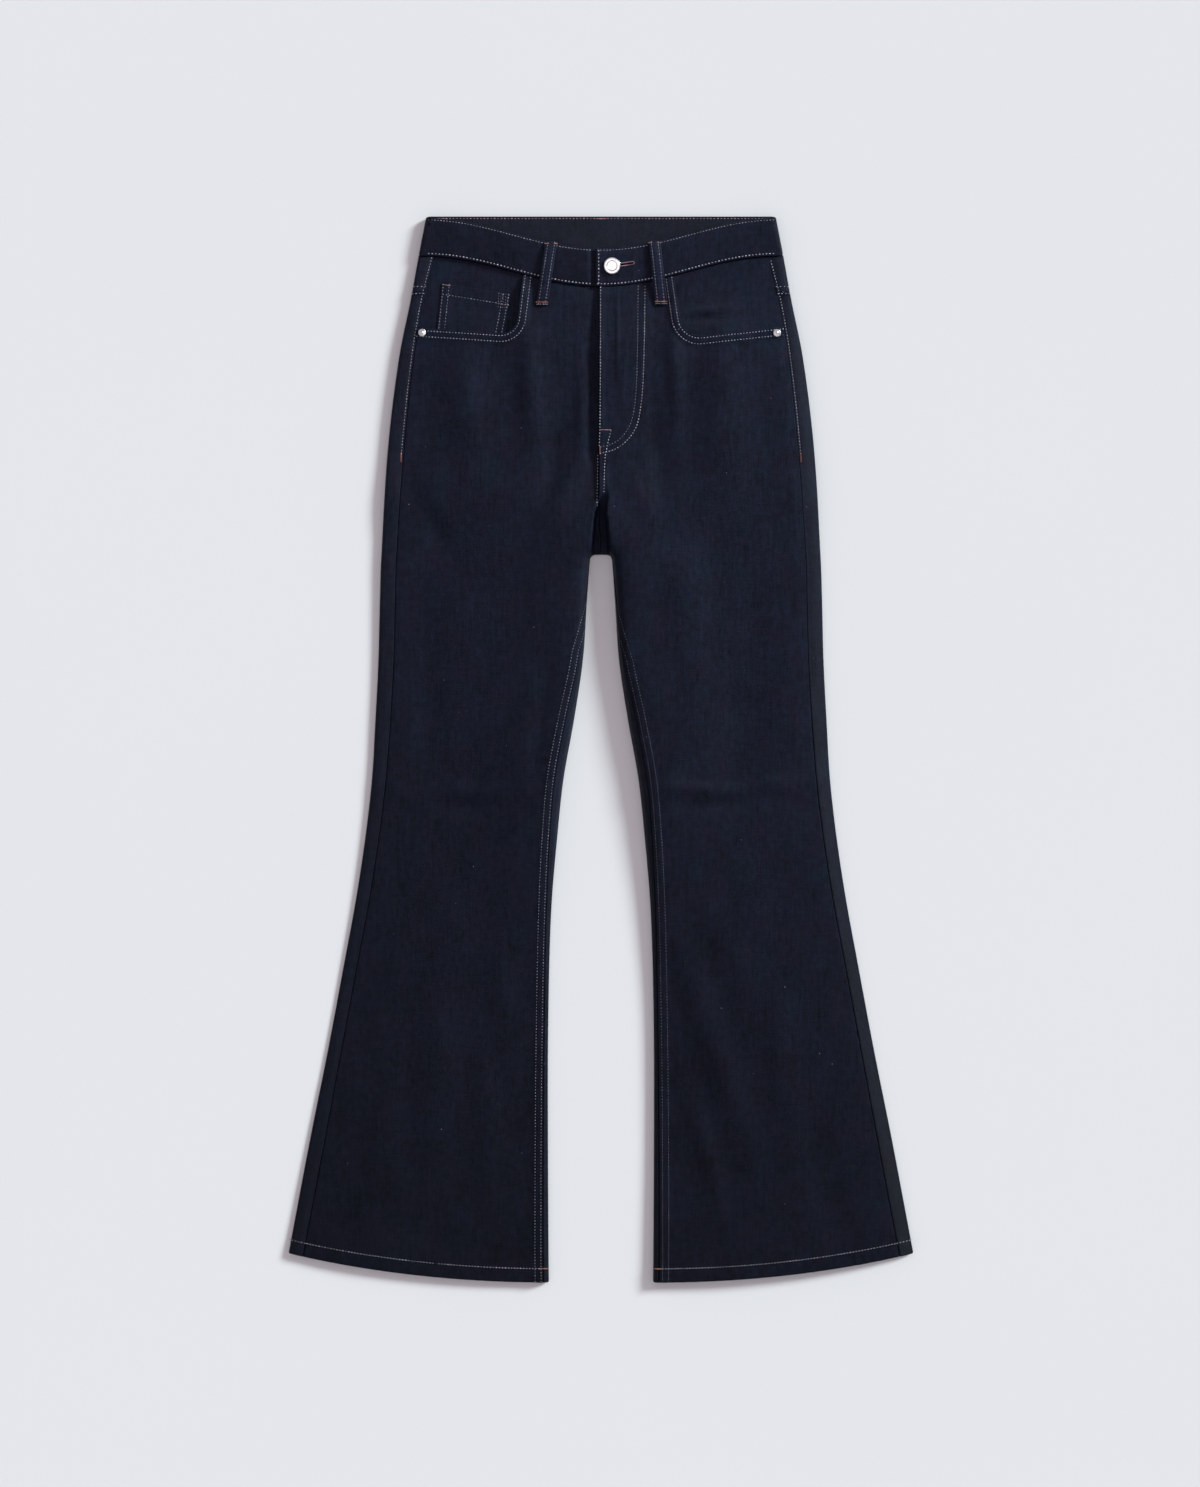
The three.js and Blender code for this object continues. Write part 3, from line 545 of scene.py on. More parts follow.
def hem_relief(hem, lift):
    """The turned hem lifts the cloth, and its row of stitches dents it."""
    return lift * smooth(HEM_HEIGHT + 1.2, HEM_HEIGHT - 1, hem) + channel(hem - HEM_ROW, 0.35)


def seam_relief(side, part, seam, y):
    """The cloth beside a side seam: a groove down the leg; on the left thigh a wide soft dip."""
    depth = 0.12 if side < 0 and part == "strip" else -GROOVE_DEPTH
    groove = depth * smooth(GROOVE_HALF, 0, seam)
    thigh = smooth(20, 90, y)
    if side > 0:
        return lerp(groove, -THIGH_DIP[part] * smooth(10, 0, seam), thigh)
    return groove * (1 - 0.4 * thigh)


def front_detail(side):
    """Seams as they lift and dent the front panel."""

    def detail(across, y):
        inner = across - front_inner(side, y)
        below_fork = smooth(150, 110, y)
        puckers = 0.16 * uneven(y, 9.5, 1.3 + side)
        fell = (FELL_LIFT + puckers) * smooth(10.4, 8.2, inner) * below_fork
        for row in FELL_ROWS:
            fell = fell + channel(inner - row, 0.3) * below_fork
        crotch_run = smooth(CROTCH + 8, CROTCH + 30, y) * smooth(FLY_FULL, FLY_FOOT, y)
        fell = fell + crotch_run * (0.6 if side > 0 else 0.1) * smooth(10.5, 8, inner)
        seam = side_seam_x(y) - across
        side_seam = seam_relief(side, "panel", seam, y)
        side_seam = side_seam + 0.2 * uneven(y, 13, 0.4 + side) * smooth(20, 2, seam)
        hem = y - hem_edge(across)
        roping = HEM_ROPING * uneven(across + 0.55 * hem, 9.5, 2.0 + side)
        hem_band = hem_relief(hem, HEM_LIFT + roping)
        hem_band = hem_band + 0.35 * uneven(across, 12, 0.9) * np.exp(-((hem - 19) / 7) ** 2)
        mouth = distance_to_line(across, y, MOUTH_LINES[side])
        rim = (0.55 + 0.1 * uneven(across + y, 10, 0.2)) * smooth(11.5, 9.3, mouth)
        seam_y, corner_y = front_band_seam(across), POCKET_MOUTHS[side].corner_y
        upright = 0.35 + 0.65 * smooth(corner_y - 4, corner_y + 20, y)
        rim = rim + MOUTH_GAPE * upright * smooth(15, 2, mouth) * smooth(seam_y - 2, seam_y - 24, y)
        for row in MOUTH_ROWS:
            rim = rim + channel(mouth - row, 0.3)
        return fell + side_seam + hem_band + rim + band_dip(across, y)

    return detail


def strip_detail(side):
    """The back's strip on the front: its side seam allowance lifts it, the fell hides its inner edge."""

    def detail(across, y):
        seam = across - side_seam_x(y)
        on_strip = smooth(-6, 0, seam)
        allowance = (0.5 + 0.18 * uneven(y, 12, 2.2 + side)) * on_strip * smooth(11, 6, seam)
        if side > 0:
            allowance = allowance * (1 - 0.8 * smooth(20, 90, y))
        dent = channel(seam - SIDE_ROW, 0.3) * smooth(292, 302, y)
        dent = dent + seam_relief(side, "strip", seam, y) * on_strip
        yoke = y - YOKE_SIDE
        yoke_fell = 0.7 * smooth(-5, -3.6, yoke) * smooth(5.4, 4, yoke)
        yoke_fell = yoke_fell - 0.6 * np.exp(-((yoke + 5) / 1.2) ** 2)
        under_fell = -0.35 * smooth(12, 6, from_inner(across, y)) * smooth(CROTCH, CROTCH - 50, y)
        hem_band = hem_relief(y - hem_edge(across), 0.5)
        return allowance + dent + hem_band + under_fell + yoke_fell + band_dip(across, y)

    return detail


def panel_surface(side):
    detail = front_detail(side)
    return lambda x, y: front_z(side, x, y, detail) + fly_rows(side, x, y)


def strip_surface(side):
    return partial(front_z, side, detail=strip_detail(side))


# ---- meshes of cloth

QUARTER_TURN = np.array([[0.0, 1.0], [-1.0, 0.0]])  # turns a row of plan vectors to the left


def turned_edge(outer, normal, thickness, edge):
    """Both faces of a wall of cloth; towards a cut or turned edge they round in to meet."""
    half = np.broadcast_to(np.asarray(thickness, float) / 2, edge.shape)
    turn = 1 - np.clip(edge / half, 0, 1)
    full = np.maximum(np.sqrt(1 - turn * turn), 0.2)[..., None]
    half = half[..., None]
    return outer - normal * half * (1 - full), outer - normal * half * (1 + full)


def add_piece(name, mesh, node=None):
    """Put a mesh in the scene as a piece that rides on the garment, in place of a CAD node."""
    piece = bpy.data.objects.new(name, mesh)
    bpy.context.scene.collection.objects.link(piece)
    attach(piece, "root")
    if node:
        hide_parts(node)
    return piece


def make_piece(name, points, faces, uv, material, node, slot="denim"):
    """A smooth-shaded piece in metres from points in millimetres."""
    mesh = bpy.data.meshes.new(name)
    mesh.from_pydata(points * MM, [], faces)
    mesh.shade_smooth()
    if uv is not None:
        corners = np.empty(len(mesh.loops), dtype=np.int32)
        mesh.loops.foreach_get("vertex_index", corners)
        layer = mesh.uv_layers.new(name="cloth")
        layer.data.foreach_set("uv", (uv[corners] * MM).astype(np.float32).ravel())
    mesh.materials.append(material)
    return add_piece(name, mesh, node)


def grid_wall(name, outer, normal, thickness, edge, uv, material, rests_on, **options):
    """A closed wall from a grid of points on its outer face, rows by columns, that goes round a fold.

    uv is where each point lay in the flat cloth, and gives the rectangle that it was cut from."""
    rows, columns = outer.shape[:2]
    near, far = turned_edge(outer, normal, thickness, edge)
    count = rows * columns
    at = np.arange(count).reshape(rows, columns)
    quads = np.stack([at[:-1, :-1], at[:-1, 1:], at[1:, 1:], at[1:, :-1]], axis=-1).reshape(-1, 4)
    ring = np.concatenate([at[0, :], at[1:, -1], at[-1, -2::-1], at[-2:0:-1, 0]])
    after = np.roll(ring, -1)
    rim = np.stack([after, ring, ring + count, after + count], axis=1)
    faces = np.vstack([quads, quads[:, ::-1] + count, rim])
    points = np.vstack([near.reshape(-1, 3), far.reshape(-1, 3)])
    middle = (rows // 2, columns // 2)
    along = outer[middle[0], middle[1] + 1] - outer[middle]
    up = outer[middle[0] + 1, middle[1]] - outer[middle]
    if np.cross(along, up) @ normal[middle] < 0:
        faces = faces[:, ::-1]
    both = np.vstack([uv.reshape(-1, 2), uv.reshape(-1, 2)])
    piece = make_piece(name, points, faces.tolist(), both, material, **options)
    width, length = (float(np.ptp(uv[..., k])) * MM for k in (0, 1))
    area = min(sum(face.area for face in piece.data.polygons) / 2, width * length)


# Rows of points alongside an edge, as distances from it: close where the edge turns.
NEAR_EDGE = (0, 0.12, 0.35, 0.75, 1.5, 2.4, 3.4, 4.6, 5.8, 7.0, 8.2, 9.4, 10.8)
NEAR_HIDDEN_EDGE = (0, 0.3, 0.8, 2)
BATCH = 3000  # points measured at a time, to spare memory


def outline_frame(outline):
    """Normals that point into a closed anticlockwise outline, longer at its corners to keep rows even."""
    back = unit(outline - np.roll(outline, 1, axis=0))
    ahead = unit(np.roll(outline, -1, axis=0) - outline)
    normal = unit((back + ahead) @ QUARTER_TURN)
    cosine = np.clip(np.sum(normal * (back @ QUARTER_TURN), axis=1), 0.5, 1)
    return normal / cosine[:, None]


def signed_depth(points, outline):
    """How deep points lie inside a closed outline, negative outside it."""
    start, stop = outline, np.roll(outline, -1, axis=0)
    run = stop - start
    length2 = np.sum(run * run, axis=1)
    depth = np.empty(len(points))
    for first in range(0, len(points), BATCH):
        x, y = points[first:first + BATCH, :, None].swapaxes(0, 1)
        dx, dy = x - start[:, 0], y - start[:, 1]
        t = np.clip((dx * run[:, 0] + dy * run[:, 1]) / length2, 0, 1)
        nearest = np.sqrt(((dx - t * run[:, 0]) ** 2 + (dy - t * run[:, 1]) ** 2).min(axis=1))
        straddles = (start[:, 1] > y) != (stop[:, 1] > y)
        rise = np.where(run[:, 1] == 0, 1e-9, run[:, 1])
        crossing = start[:, 0] + (y - start[:, 1]) * run[:, 0] / rise
        inside = np.sum(straddles & (x < crossing), axis=1) % 2 == 1
        depth[first:first + BATCH] = np.where(inside, nearest, -nearest)
    return depth


def fill_outline(outline, pitch, near=NEAR_EDGE, extra=None):
    """Points and triangles that fill an outline: rows alongside its edge and a lattice inside."""
    normal = outline_frame(outline)
    layers = [outline]
    for inset in near[1:]:
        row = outline + normal * inset
        layers.append(row[signed_depth(row, outline) > inset * 0.985])
    low, high = outline.min(axis=0), outline.max(axis=0)
    x = np.arange(low[0] + pitch / 2, high[0], pitch)
    y = np.arange(low[1] + pitch / 2, high[1], pitch)
    lattice = np.stack(np.meshgrid(x, y), axis=-1)
    lattice[1::2, :, 0] += pitch / 2
    lattice = lattice.reshape(-1, 2)
    if extra is not None:
        layers.append(extra[signed_depth(extra, outline) > near[-1]])
        spacing = np.full(len(lattice), np.inf)
        for first in range(0, len(lattice), BATCH):
            gap = lattice[first:first + BATCH, None, :] - layers[-1][None, :, :]
            spacing[first:first + BATCH] = np.sqrt((gap ** 2).sum(axis=2).min(axis=1))
        lattice = lattice[spacing > pitch * 0.6]
    layers.append(lattice[signed_depth(lattice, outline) > near[-1] + pitch * 0.45])
    points = np.vstack(layers)
    ring = list(range(len(outline)))
    corners, _, triangles, *_ = delaunay_2d_cdt([Vector(p) for p in points], [], [ring], 1, 1e-5)
    points = np.array([tuple(corner) for corner in corners])
    return points, np.array(triangles, dtype=np.int64), np.maximum(signed_depth(points, outline), 0)


def face_normals(points, triangles):
    """Smooth normals at the points of a surface of triangles."""
    a, b, c = (points[triangles[:, k]] for k in range(3))
    cross = np.cross(b - a, c - a)
    normal = np.zeros_like(points)
    for k in range(3):
        np.add.at(normal, triangles[:, k], cross)
    return unit(normal)


def plan_wall(name, outline, height, thickness, material, rests_on, side=1, pitch=3.2,
              near=NEAR_EDGE, extra=None, **options):
    """A closed wall over an outline in plan; height(x, y) gives its upper face.

    The outline is in distances from the centre line, mirrored to the wearer's right by side -1. It
    is also the flat cut of the cloth."""
    x, y = outline.T
    area = 0.5 * np.sum(x * np.roll(y, -1) - y * np.roll(x, -1))
    if area < 0:
        outline = outline[::-1]
    flat, triangles, edge = fill_outline(outline, pitch, near, extra)
    upper = np.column_stack([flat, height(*flat.T)])
    wall = thickness(*flat.T) if callable(thickness) else thickness
    top, bottom = turned_edge(upper, face_normals(upper, triangles), wall, edge)
    count = len(flat)
    edges = np.vstack([triangles[:, [0, 1]], triangles[:, [1, 2]], triangles[:, [2, 0]]])
    codes = edges[:, 0] * count + edges[:, 1]
    a, b = edges[~np.isin(edges[:, 1] * count + edges[:, 0], codes)].T
    rim = np.stack([b, a, a + count, b + count], axis=1)
    points = np.vstack([top, bottom])
    faces = [*triangles.tolist(), *(triangles[:, ::-1] + count).tolist(), *rim.tolist()]
    if side < 0:
        points[:, 0] *= -1
        faces = [face[::-1] for face in faces]
    piece = make_piece(name, points, faces, points[:, :2], material, **options)
    width, length, _ = np.ptp((points * MM).astype(np.float32), axis=0).tolist()


def join_lines(*lines, step=3.0):
    """A closed outline from lines given end to end, each spaced evenly with its ends kept."""
    outline = np.vstack([resample(line, step)[:-1] for line in lines])
    gap = np.linalg.norm(outline - np.roll(outline, 1, axis=0), axis=1)
    return outline[gap > 1e-3]


# ---- front panels, facings, coin pocket

def front_outline(side):
    """The front panel in plan, anticlockwise from the inner end of its hem."""
    hem_in = float(front_inner(side, LEG_FOOT))
    hem_out = float(outer_at(HEM_SIDE))
    for _ in range(6):
        hem_out = float(side_seam_x(hem_edge(hem_out)) - SEAM_HALF)
    hem_x = np.linspace(hem_in, hem_out, 90)
    mouth = mouth_curve(side)
    seam_y = np.linspace(float(hem_edge(hem_out)), mouth[-1, 1], 400)
    band_x = np.linspace(mouth[0, 0], float(front_inner(side, 470)), 40)
    centre_y = np.linspace(float(front_band_seam(band_x[-1])) - BAND_GAP, CROTCH, 120)
    corner_y = CROTCH - 0.001 - np.linspace(0, CROTCH_CORNER + 1, 40)
    inseam_y = np.linspace(corner_y[-1], float(hem_edge(hem_in)), 300)
    fork = np.array([[front_inner(side, CROTCH), CROTCH], [front_inner(side, corner_y[0]), CROTCH]], float)
    lines = [
        (np.column_stack([hem_x, hem_edge(hem_x)]), 3),
        (np.column_stack([side_seam_x(seam_y) - SEAM_HALF, seam_y]), 3.2),
        (mouth[::-1], 2.2),
        (np.column_stack([band_x, front_band_seam(band_x) - BAND_GAP]), 3),
        (np.column_stack([front_inner(side, centre_y), centre_y]), 2.6),
        (fork, 0.9),
        (np.column_stack([front_inner(side, corner_y), corner_y]), 0.9),
        (np.column_stack([front_inner(side, inseam_y), inseam_y]), 3),
    ]
    return np.vstack([resample(line, step)[:-1] for line, step in lines])


def beside(line, offsets, step=1.6):
    """Rows of points that follow a line in plan at each offset to its left."""
    line = resample(line, step)
    left = unit(np.gradient(line, axis=0) @ QUARTER_TURN)
    return np.vstack([line + left * offset for offset in offsets])


def round_curve(points, step=1.5):
    """A smooth curve through a few points in plan."""
    points = np.asarray(points, float)
    padded = np.vstack([2 * points[0] - points[1], points, 2 * points[-1] - points[-2]])
    t = np.linspace(0, 1, 24, endpoint=False)[:, None]
    parts = []
    for a, b, c, d in zip(padded[:-3], padded[1:-2], padded[2:-1], padded[3:]):
        parts.append(0.5 * (2 * b + (c - a) * t + (2 * a - 5 * b + 4 * c - d) * t ** 2
                            + (3 * b - a - 3 * c + d) * t ** 3))
    return resample(np.vstack([*parts, points[-1:]]), step)


# The fly's J: two rows that run down beside the opening and turn in under it.
FLY_J_OUTER = [(45, 473), (44.2, 420), (43, 378), (40.9, 352.6),
               (36.3, 330), (26.5, 315.2), (14.3, 306.3), (-0.6, 302)]
FLY_J_INNER = [(38, 473), (37.4, 420), (36.4, 378), (34.6, 353),
               (30.6, 333.5), (22, 319.6), (11.4, 311.8), (-0.4, 308.6)]


def hem_wall(across, y):
    return DENIM + (HEM_WALL - DENIM) * smooth(HEM_HEIGHT, HEM_HEIGHT - 1.5, y - hem_edge(across))


def make_front_panels(material):
    row_offsets = (-1.5, -0.75, 0, 0.75, 1.5)
    crease = [(FLY_CREASE_X, 376), (FLY_CREASE_X, 468)]
    fly_points = np.vstack([*(beside(round_curve(row), row_offsets) for row in (FLY_J_OUTER, FLY_J_INNER)),
                            beside(crease, np.arange(-4, 4.5, 1))])
    for name, side in SIDES:
        plan_wall(f"cloth_front_{name}", front_outline(side), panel_surface(side), hem_wall, material,
                  [f"back_panel_{name}"], side=side, extra=fly_points if side > 0 else None,
                  node=f"front_panel_{name}")


def fly_rows(side, x, y):
    """The dents of the J rows and of the row beside the opening, on the wearer's left."""
    if side < 0:
        return 0
    near = (x < 52) & (y > 295)
    dent = np.zeros(np.shape(x))
    for line in (FLY_J_OUTER, FLY_J_INNER):
        dent[near] += channel(distance_to_line(x[near], y[near], round_curve(line, 6)), 0.3)
    return dent + channel(x + 0.3, 0.25) * smooth(FLY_FOOT + 10, FLY_FULL, y)


# A crease pressed into the left facing: a low ridge over a trough.
FACING_FOLDS = [Fold(110, 448, 6, 21, 5, 1.8), Fold(108, 441, 6, 19, 3.4, -2.4)]


def facing_surface(side):
    """The facing lies under the front panel, and on the right under the coin pocket too."""
    sunk = DENIM + GAP + (COIN_WALL + GAP if side < 0 else 0)
    creases = FACING_FOLDS if side > 0 else []
    return lambda x, y: front_z(side, x, y) - sunk + folds_at(creases, side, x, y)


def facing_outline(side):
    mouth = POCKET_MOUTHS[side]
    foot, left = mouth.corner_y - FACING_BELOW, mouth.top_x - FACING_UNDERLAP
    side_y = np.linspace(foot, 470, 20)
    side_x = side_seam_x(side_y) + FACING_UNDER_BACK
    band_x = np.linspace(side_x[-1], left, 20)
    band = np.column_stack([band_x, front_band_seam(band_x) - BAND_GAP])
    right = np.column_stack([side_x, side_y])
    right[-1, 1] = band[0, 1]
    return join_lines([(left, foot), right[0]], right, band, [band[-1], (left, foot)], step=3.4)


def straight_outline(corners, step):
    return join_lines(*zip(corners, [*corners[1:], corners[0]]), step=step)


def coin_height(x, y):
    """The coin pocket: its hemmed mouth is thicker and its rows of stitches dent it."""
    (in_x, in_y), (out_x, out_y) = COIN_POCKET[:2]
    mouth = lerp(in_y, out_y, (x - in_x) / (out_x - in_x)) - y
    hem = 0.35 * smooth(12.5, 11, mouth) + channel(mouth - COIN_HEM_ROW, 0.25)
    return front_z(-1, x, y) - DENIM - GAP + hem + 0.12 * uneven(x, 12, 1.1)


def make_pocket_facings(material):
    for name, side in SIDES:
        plan_wall(f"cloth_facing_{name}", facing_outline(side), facing_surface(side), DENIM, material,
                  [f"back_yoke_{name}"], side=side, near=NEAR_HIDDEN_EDGE, node=f"pocket_facing_{name}")
    plan_wall("cloth_coin_pocket", straight_outline(COIN_POCKET, 2.2), coin_height, COIN_WALL, material,
              ["cloth_facing_right"], side=-1, pitch=2.2, near=NEAR_EDGE[:8], node="coin_pocket")


# ---- back panels, yokes, back pockets

STRIP_OFFSETS = NEAR_EDGE[:9]
STRIP_REST = (0.5, 1.0)
TURN_STEPS = 14
UNDERSIDE_STEPS = 16
INNER_RUN = 14  # cloth next to the inseam that keeps its own columns
INNER_STEPS = 22
FAR = 99.0  # an edge too far away to matter


def wrap_columns(y):
    """Columns round one half of the back, for rows at heights y: a grid of (row, column).

    From the side seam on the front, round the outer fold, across the seat or leg, and below the
    fork round the inner fold to the inseam. Returns the distance from the centre line, the face,
    the run of cloth, the distance to the nearer side edge, and how far a point is on the front."""
    first = y[:, :1]
    seam = length_to(side_seam_at(first)) - SEAM_HALF
    turning = np.linspace(FOLD_ARC, -FOLD_ARC, TURN_STEPS + 1)[1:]
    outer = np.concatenate([seam - np.array(STRIP_OFFSETS),
                            lerp(seam - STRIP_OFFSETS[-1], FOLD_ARC, np.array(STRIP_REST)),
                            np.broadcast_to(turning, (len(y), TURN_STEPS))], axis=1)
    outer_y, flat_y, inner_y = np.split(y, [outer.shape[1], outer.shape[1] + UNDERSIDE_STEPS - 1], axis=1)
    across = outer_at(outer_y) - inset_of(outer)
    forked = first < CROTCH
    stop = np.where(forked, length_to(inseam_at(first)) - inseam_half(first), -CENTRE_HALF)
    inner = lerp(-INNER_RUN, stop, np.linspace(0, 1, INNER_STEPS + 1) ** 0.85)
    inner_across = np.maximum(inner_at(inner_y) + inset_of(inner), CENTRE_HALF)
    flat_start = outer_at(flat_y) - FOLD_DEPTH
    flat_stop = np.maximum(inner_at(flat_y) + inset_of(-INNER_RUN), CENTRE_HALF)
    flat_across = lerp(flat_start, flat_stop, np.linspace(0, 1, UNDERSIDE_STEPS + 1)[1:-1])
    flat_run = -FOLD_ARC - (flat_start - flat_across)
    inner_start = -FOLD_ARC - (outer_at(inner_y) - FOLD_DEPTH - inner_at(inner_y) - inset_of(-INNER_RUN))
    columns = [
        (across, flat_across, inner_across),
        (np.sign(outer + 1e-6), 0 * flat_across - 1, np.where(forked & (inner > 0), 1, -1)),
        (outer, flat_run, inner_start - (inner + INNER_RUN)),
        (seam - outer, 0 * flat_across + FAR, np.abs(stop - inner)),
        (smooth(-FOLD_ARC, FOLD_ARC, outer), 0 * flat_across, 0 * inner),
    ]
    return [np.concatenate(parts, axis=1) for parts in columns]


WRAP_COUNT = len(STRIP_OFFSETS) + len(STRIP_REST) + TURN_STEPS + UNDERSIDE_STEPS + INNER_STEPS


def yoke_seam(across, y, share):
    """The seam between yoke and back, which drops to the centre behind."""
    straight = np.clip(across / outer_at(y), 0, 1)
    return np.where(share > 0, YOKE_SIDE, lerp(YOKE_CENTRE, YOKE_SIDE, straight))


def wrapped_wall(name, side, rows, edge_rows, thickness, material, node):
    """A wall round one half of the back; rows is (row, column) heights before they bend."""
    plan, *_, share = wrap_columns(rows)
    y = row_height(plan, rows, share)
    plan, face, run, edge, _ = wrap_columns(y)
    outer, normal = skin(side, face, plan, y, strip_detail(side))
    uv = np.stack([side * run, y], axis=-1)
    grid_wall(name, outer, normal, thickness(plan, y), np.minimum(edge, edge_rows), uv, material,
              ["floor"], node=node)


# Rows of the back next to the fork, from its height: close where the legs part.
FORK_ROWS = (-7, -6, -5, -4, -3, -2.2, -1.5, -0.9, -0.4, -0.12, -0.01, 0.03, 0.3, 0.8, 1.6, 2.6, 4, 6)
SEAT_ROW = 380.0  # above this the rows climb to follow the yoke's seam


def make_back_panels(material):
    hem_rows = HEM_SIDE + np.array(NEAR_EDGE)
    below = np.arange(hem_rows[-1] + 4, CROTCH - 9, 4.2)
    fork = CROTCH + np.array(FORK_ROWS)
    above = np.arange(fork[-1] + 4, SEAT_ROW, 5)
    base = np.concatenate([hem_rows, below, fork, above])
    near = np.array(NEAR_EDGE[6::-1])
    for name, side in SIDES:
        rows = np.repeat(base[:, None], WRAP_COUNT, axis=1)
        top_row = np.full((1, WRAP_COUNT), SEAT_ROW)
        plan, *_, share = wrap_columns(top_row)
        seam = yoke_seam(plan, top_row, share)
        climb = [lerp(top_row, seam - near[0], t) for t in np.linspace(0, 1, 16)[:-1]]
        rows = np.vstack([rows, *climb, *(seam - inset for inset in near)])
        edge_rows = np.minimum(rows - HEM_SIDE, FAR)
        edge_rows[-len(near):] = near[:, None]
        wrapped_wall(f"cloth_back_{name}", side, rows, edge_rows, hem_wall, material, f"back_panel_{name}")


def make_yokes(material):
    near = np.array(NEAR_EDGE[:6])
    for name, side in SIDES:
        start = np.full((1, WRAP_COUNT), float(YOKE_SIDE))
        plan, *_, share = wrap_columns(start)
        low = yoke_seam(plan, start, share) + GAP
        high = np.full_like(low, BAND_SEAM - BAND_GAP)
        climb = [lerp(low + near[-1], high - near[-1], t) for t in np.linspace(0, 1, 12)[1:-1]]
        rows = np.vstack([*(low + inset for inset in near), *climb,
                          *(high - inset for inset in near[::-1])])
        edge_rows = np.full(rows.shape, FAR)
        edge_rows[:len(near)] = near[:, None]
        edge_rows[-len(near):] = near[::-1, None]
        wrapped_wall(f"cloth_yoke_{name}", side, rows, edge_rows, level(DENIM), material,
                     f"back_yoke_{name}")


def make_back_pockets(material):
    for name, side in SIDES:
        plan_wall(f"cloth_back_pocket_{name}", straight_outline(BACK_POCKET, 3.2), level(PATCH_WALL),
                  PATCH_WALL, material, ["floor"], side=side, pitch=5, near=NEAR_EDGE[:9],
                  node=f"back_pocket_{name}")


# ---- waistband and belt loops

BAND_EDGE = float(edge_at(BAND_SEAM)) + BAND_STEP
BAND_TOP_Z = REST_HEIGHT + BAND_EDGE
INNER_BAND_Z = REST_HEIGHT + BAND_WALL  # the inner face of the band's back
BAND_TURN = 4.6
BAND_LIFT = 0.5  # the left end rides this much higher over the right one
BAND_LEFT_END, BAND_RIGHT_END = -5.2, 34
BAND_RAMP, BAND_FLAT = 7, -7.5
BAND_FACE = 176  # the front face runs this far to each side
BAND_LIP, BAND_LIP_END = 1.2, 7  # the band's folded end stands up a little
BAND_ROWS = (2.4, 2.2)  # rows of stitches, from the lower and the upper edge
LEFT_LIFT_FOOT, LEFT_LIFT_RUN = 75, 30


def left_lift(x):
    lip = BAND_LIP * smooth(BAND_LIP_END, BAND_LEFT_END, x)
    return BAND_LIFT * np.clip((LEFT_LIFT_FOOT - x) / LEFT_LIFT_RUN, 0, 1) + lip


def right_drop(x):
    return -smooth(BAND_FLAT - BAND_RAMP, BAND_FLAT, x) * (BAND_WALL + GAP - BAND_LIFT)


def band_detail(x, y, low, high):
    """The band's stitched edges, its slight puckers and the slit of the buttonhole."""
    rows = channel(y - low - BAND_ROWS[0], 0.35) + channel(high - y - BAND_ROWS[1], 0.35)
    middle = np.sin(np.pi * np.clip((y - low) / (high - low), 0, 1))
    puckers = 0.16 * uneven(x + 0.5 * (y - low), 10, 0.6) + 0.25 * uneven(x, 46, 1.9) * middle
    return rows + puckers + 0.5 * middle


def slit_depth(x, y):
    """The buttonhole's slit as a dent of the band's front end, with a slight rim round it."""
    distance = distance_to_line(x, y, [(BUTTON_X, BUTTON_Y), BUTTONHOLE_END])
    return -1.9 * smooth(0.95, 0.35, distance) + 0.3 * np.exp(-((distance - 1.7) / 0.9) ** 2)


def band_z(x, y, side):
    """Height of the band's front face; the wearer's left end lies over the right one."""
    low, high = front_band_seam(x), front_band_top(x)
    lift = left_lift(x) if side > 0 else right_drop(x)
    slit = slit_depth(x, y) if side > 0 else 0
    return BAND_TOP_Z + lift + band_detail(x, y, low, high) + slit


def band_rows():
    """Fractions of the band's height: close at both edges and at the buttonhole."""
    near = np.array(NEAR_EDGE[:7]) / BAND_HEIGHT
    middle = np.concatenate([np.linspace(near[-1], 0.46, 9)[1:], np.linspace(0.46, 0.62, 17)[1:],
                             np.linspace(0.62, 1 - near[-1], 9)[1:-1]])
    return np.concatenate([near, middle, 1 - near[::-1]])


def band_stations():
    """Positions along the band: plan x, or 1 or -1 where it turns at a side, and its angle there."""
    near = np.array(NEAR_EDGE[:7])
    front_left = np.concatenate([BAND_LEFT_END + near, np.arange(2, 8, 2), np.arange(8, 36, 0.6),
                                 np.arange(36, BAND_FACE, 2.8)])
    back = np.arange(-174, 175, 5.0)[::-1]
    front_right = np.concatenate([np.arange(-BAND_FACE, BAND_FLAT - BAND_RAMP, 2.8),
                                  np.arange(BAND_FLAT - BAND_RAMP, 6, 1.5), np.arange(6, 29, 3.2),
                                  BAND_RIGHT_END - near[::-1]])
    turn = np.linspace(0.5, -0.5, 13) * np.pi
    straight = np.pi / 2
    stations = [(front_left, straight, 0, 1), (1 + 0 * turn, turn, 1, 1), (back, -straight, 0, 0),
                (0 * turn - 1, turn[::-1], 1, 0), (front_right, straight, 0, 0)]
    columns = [np.broadcast_arrays(*station) for station in stations]
    x, angle, turning, on_left = (np.concatenate(parts) for parts in zip(*columns))
    return x, angle, turning > 0, on_left > 0


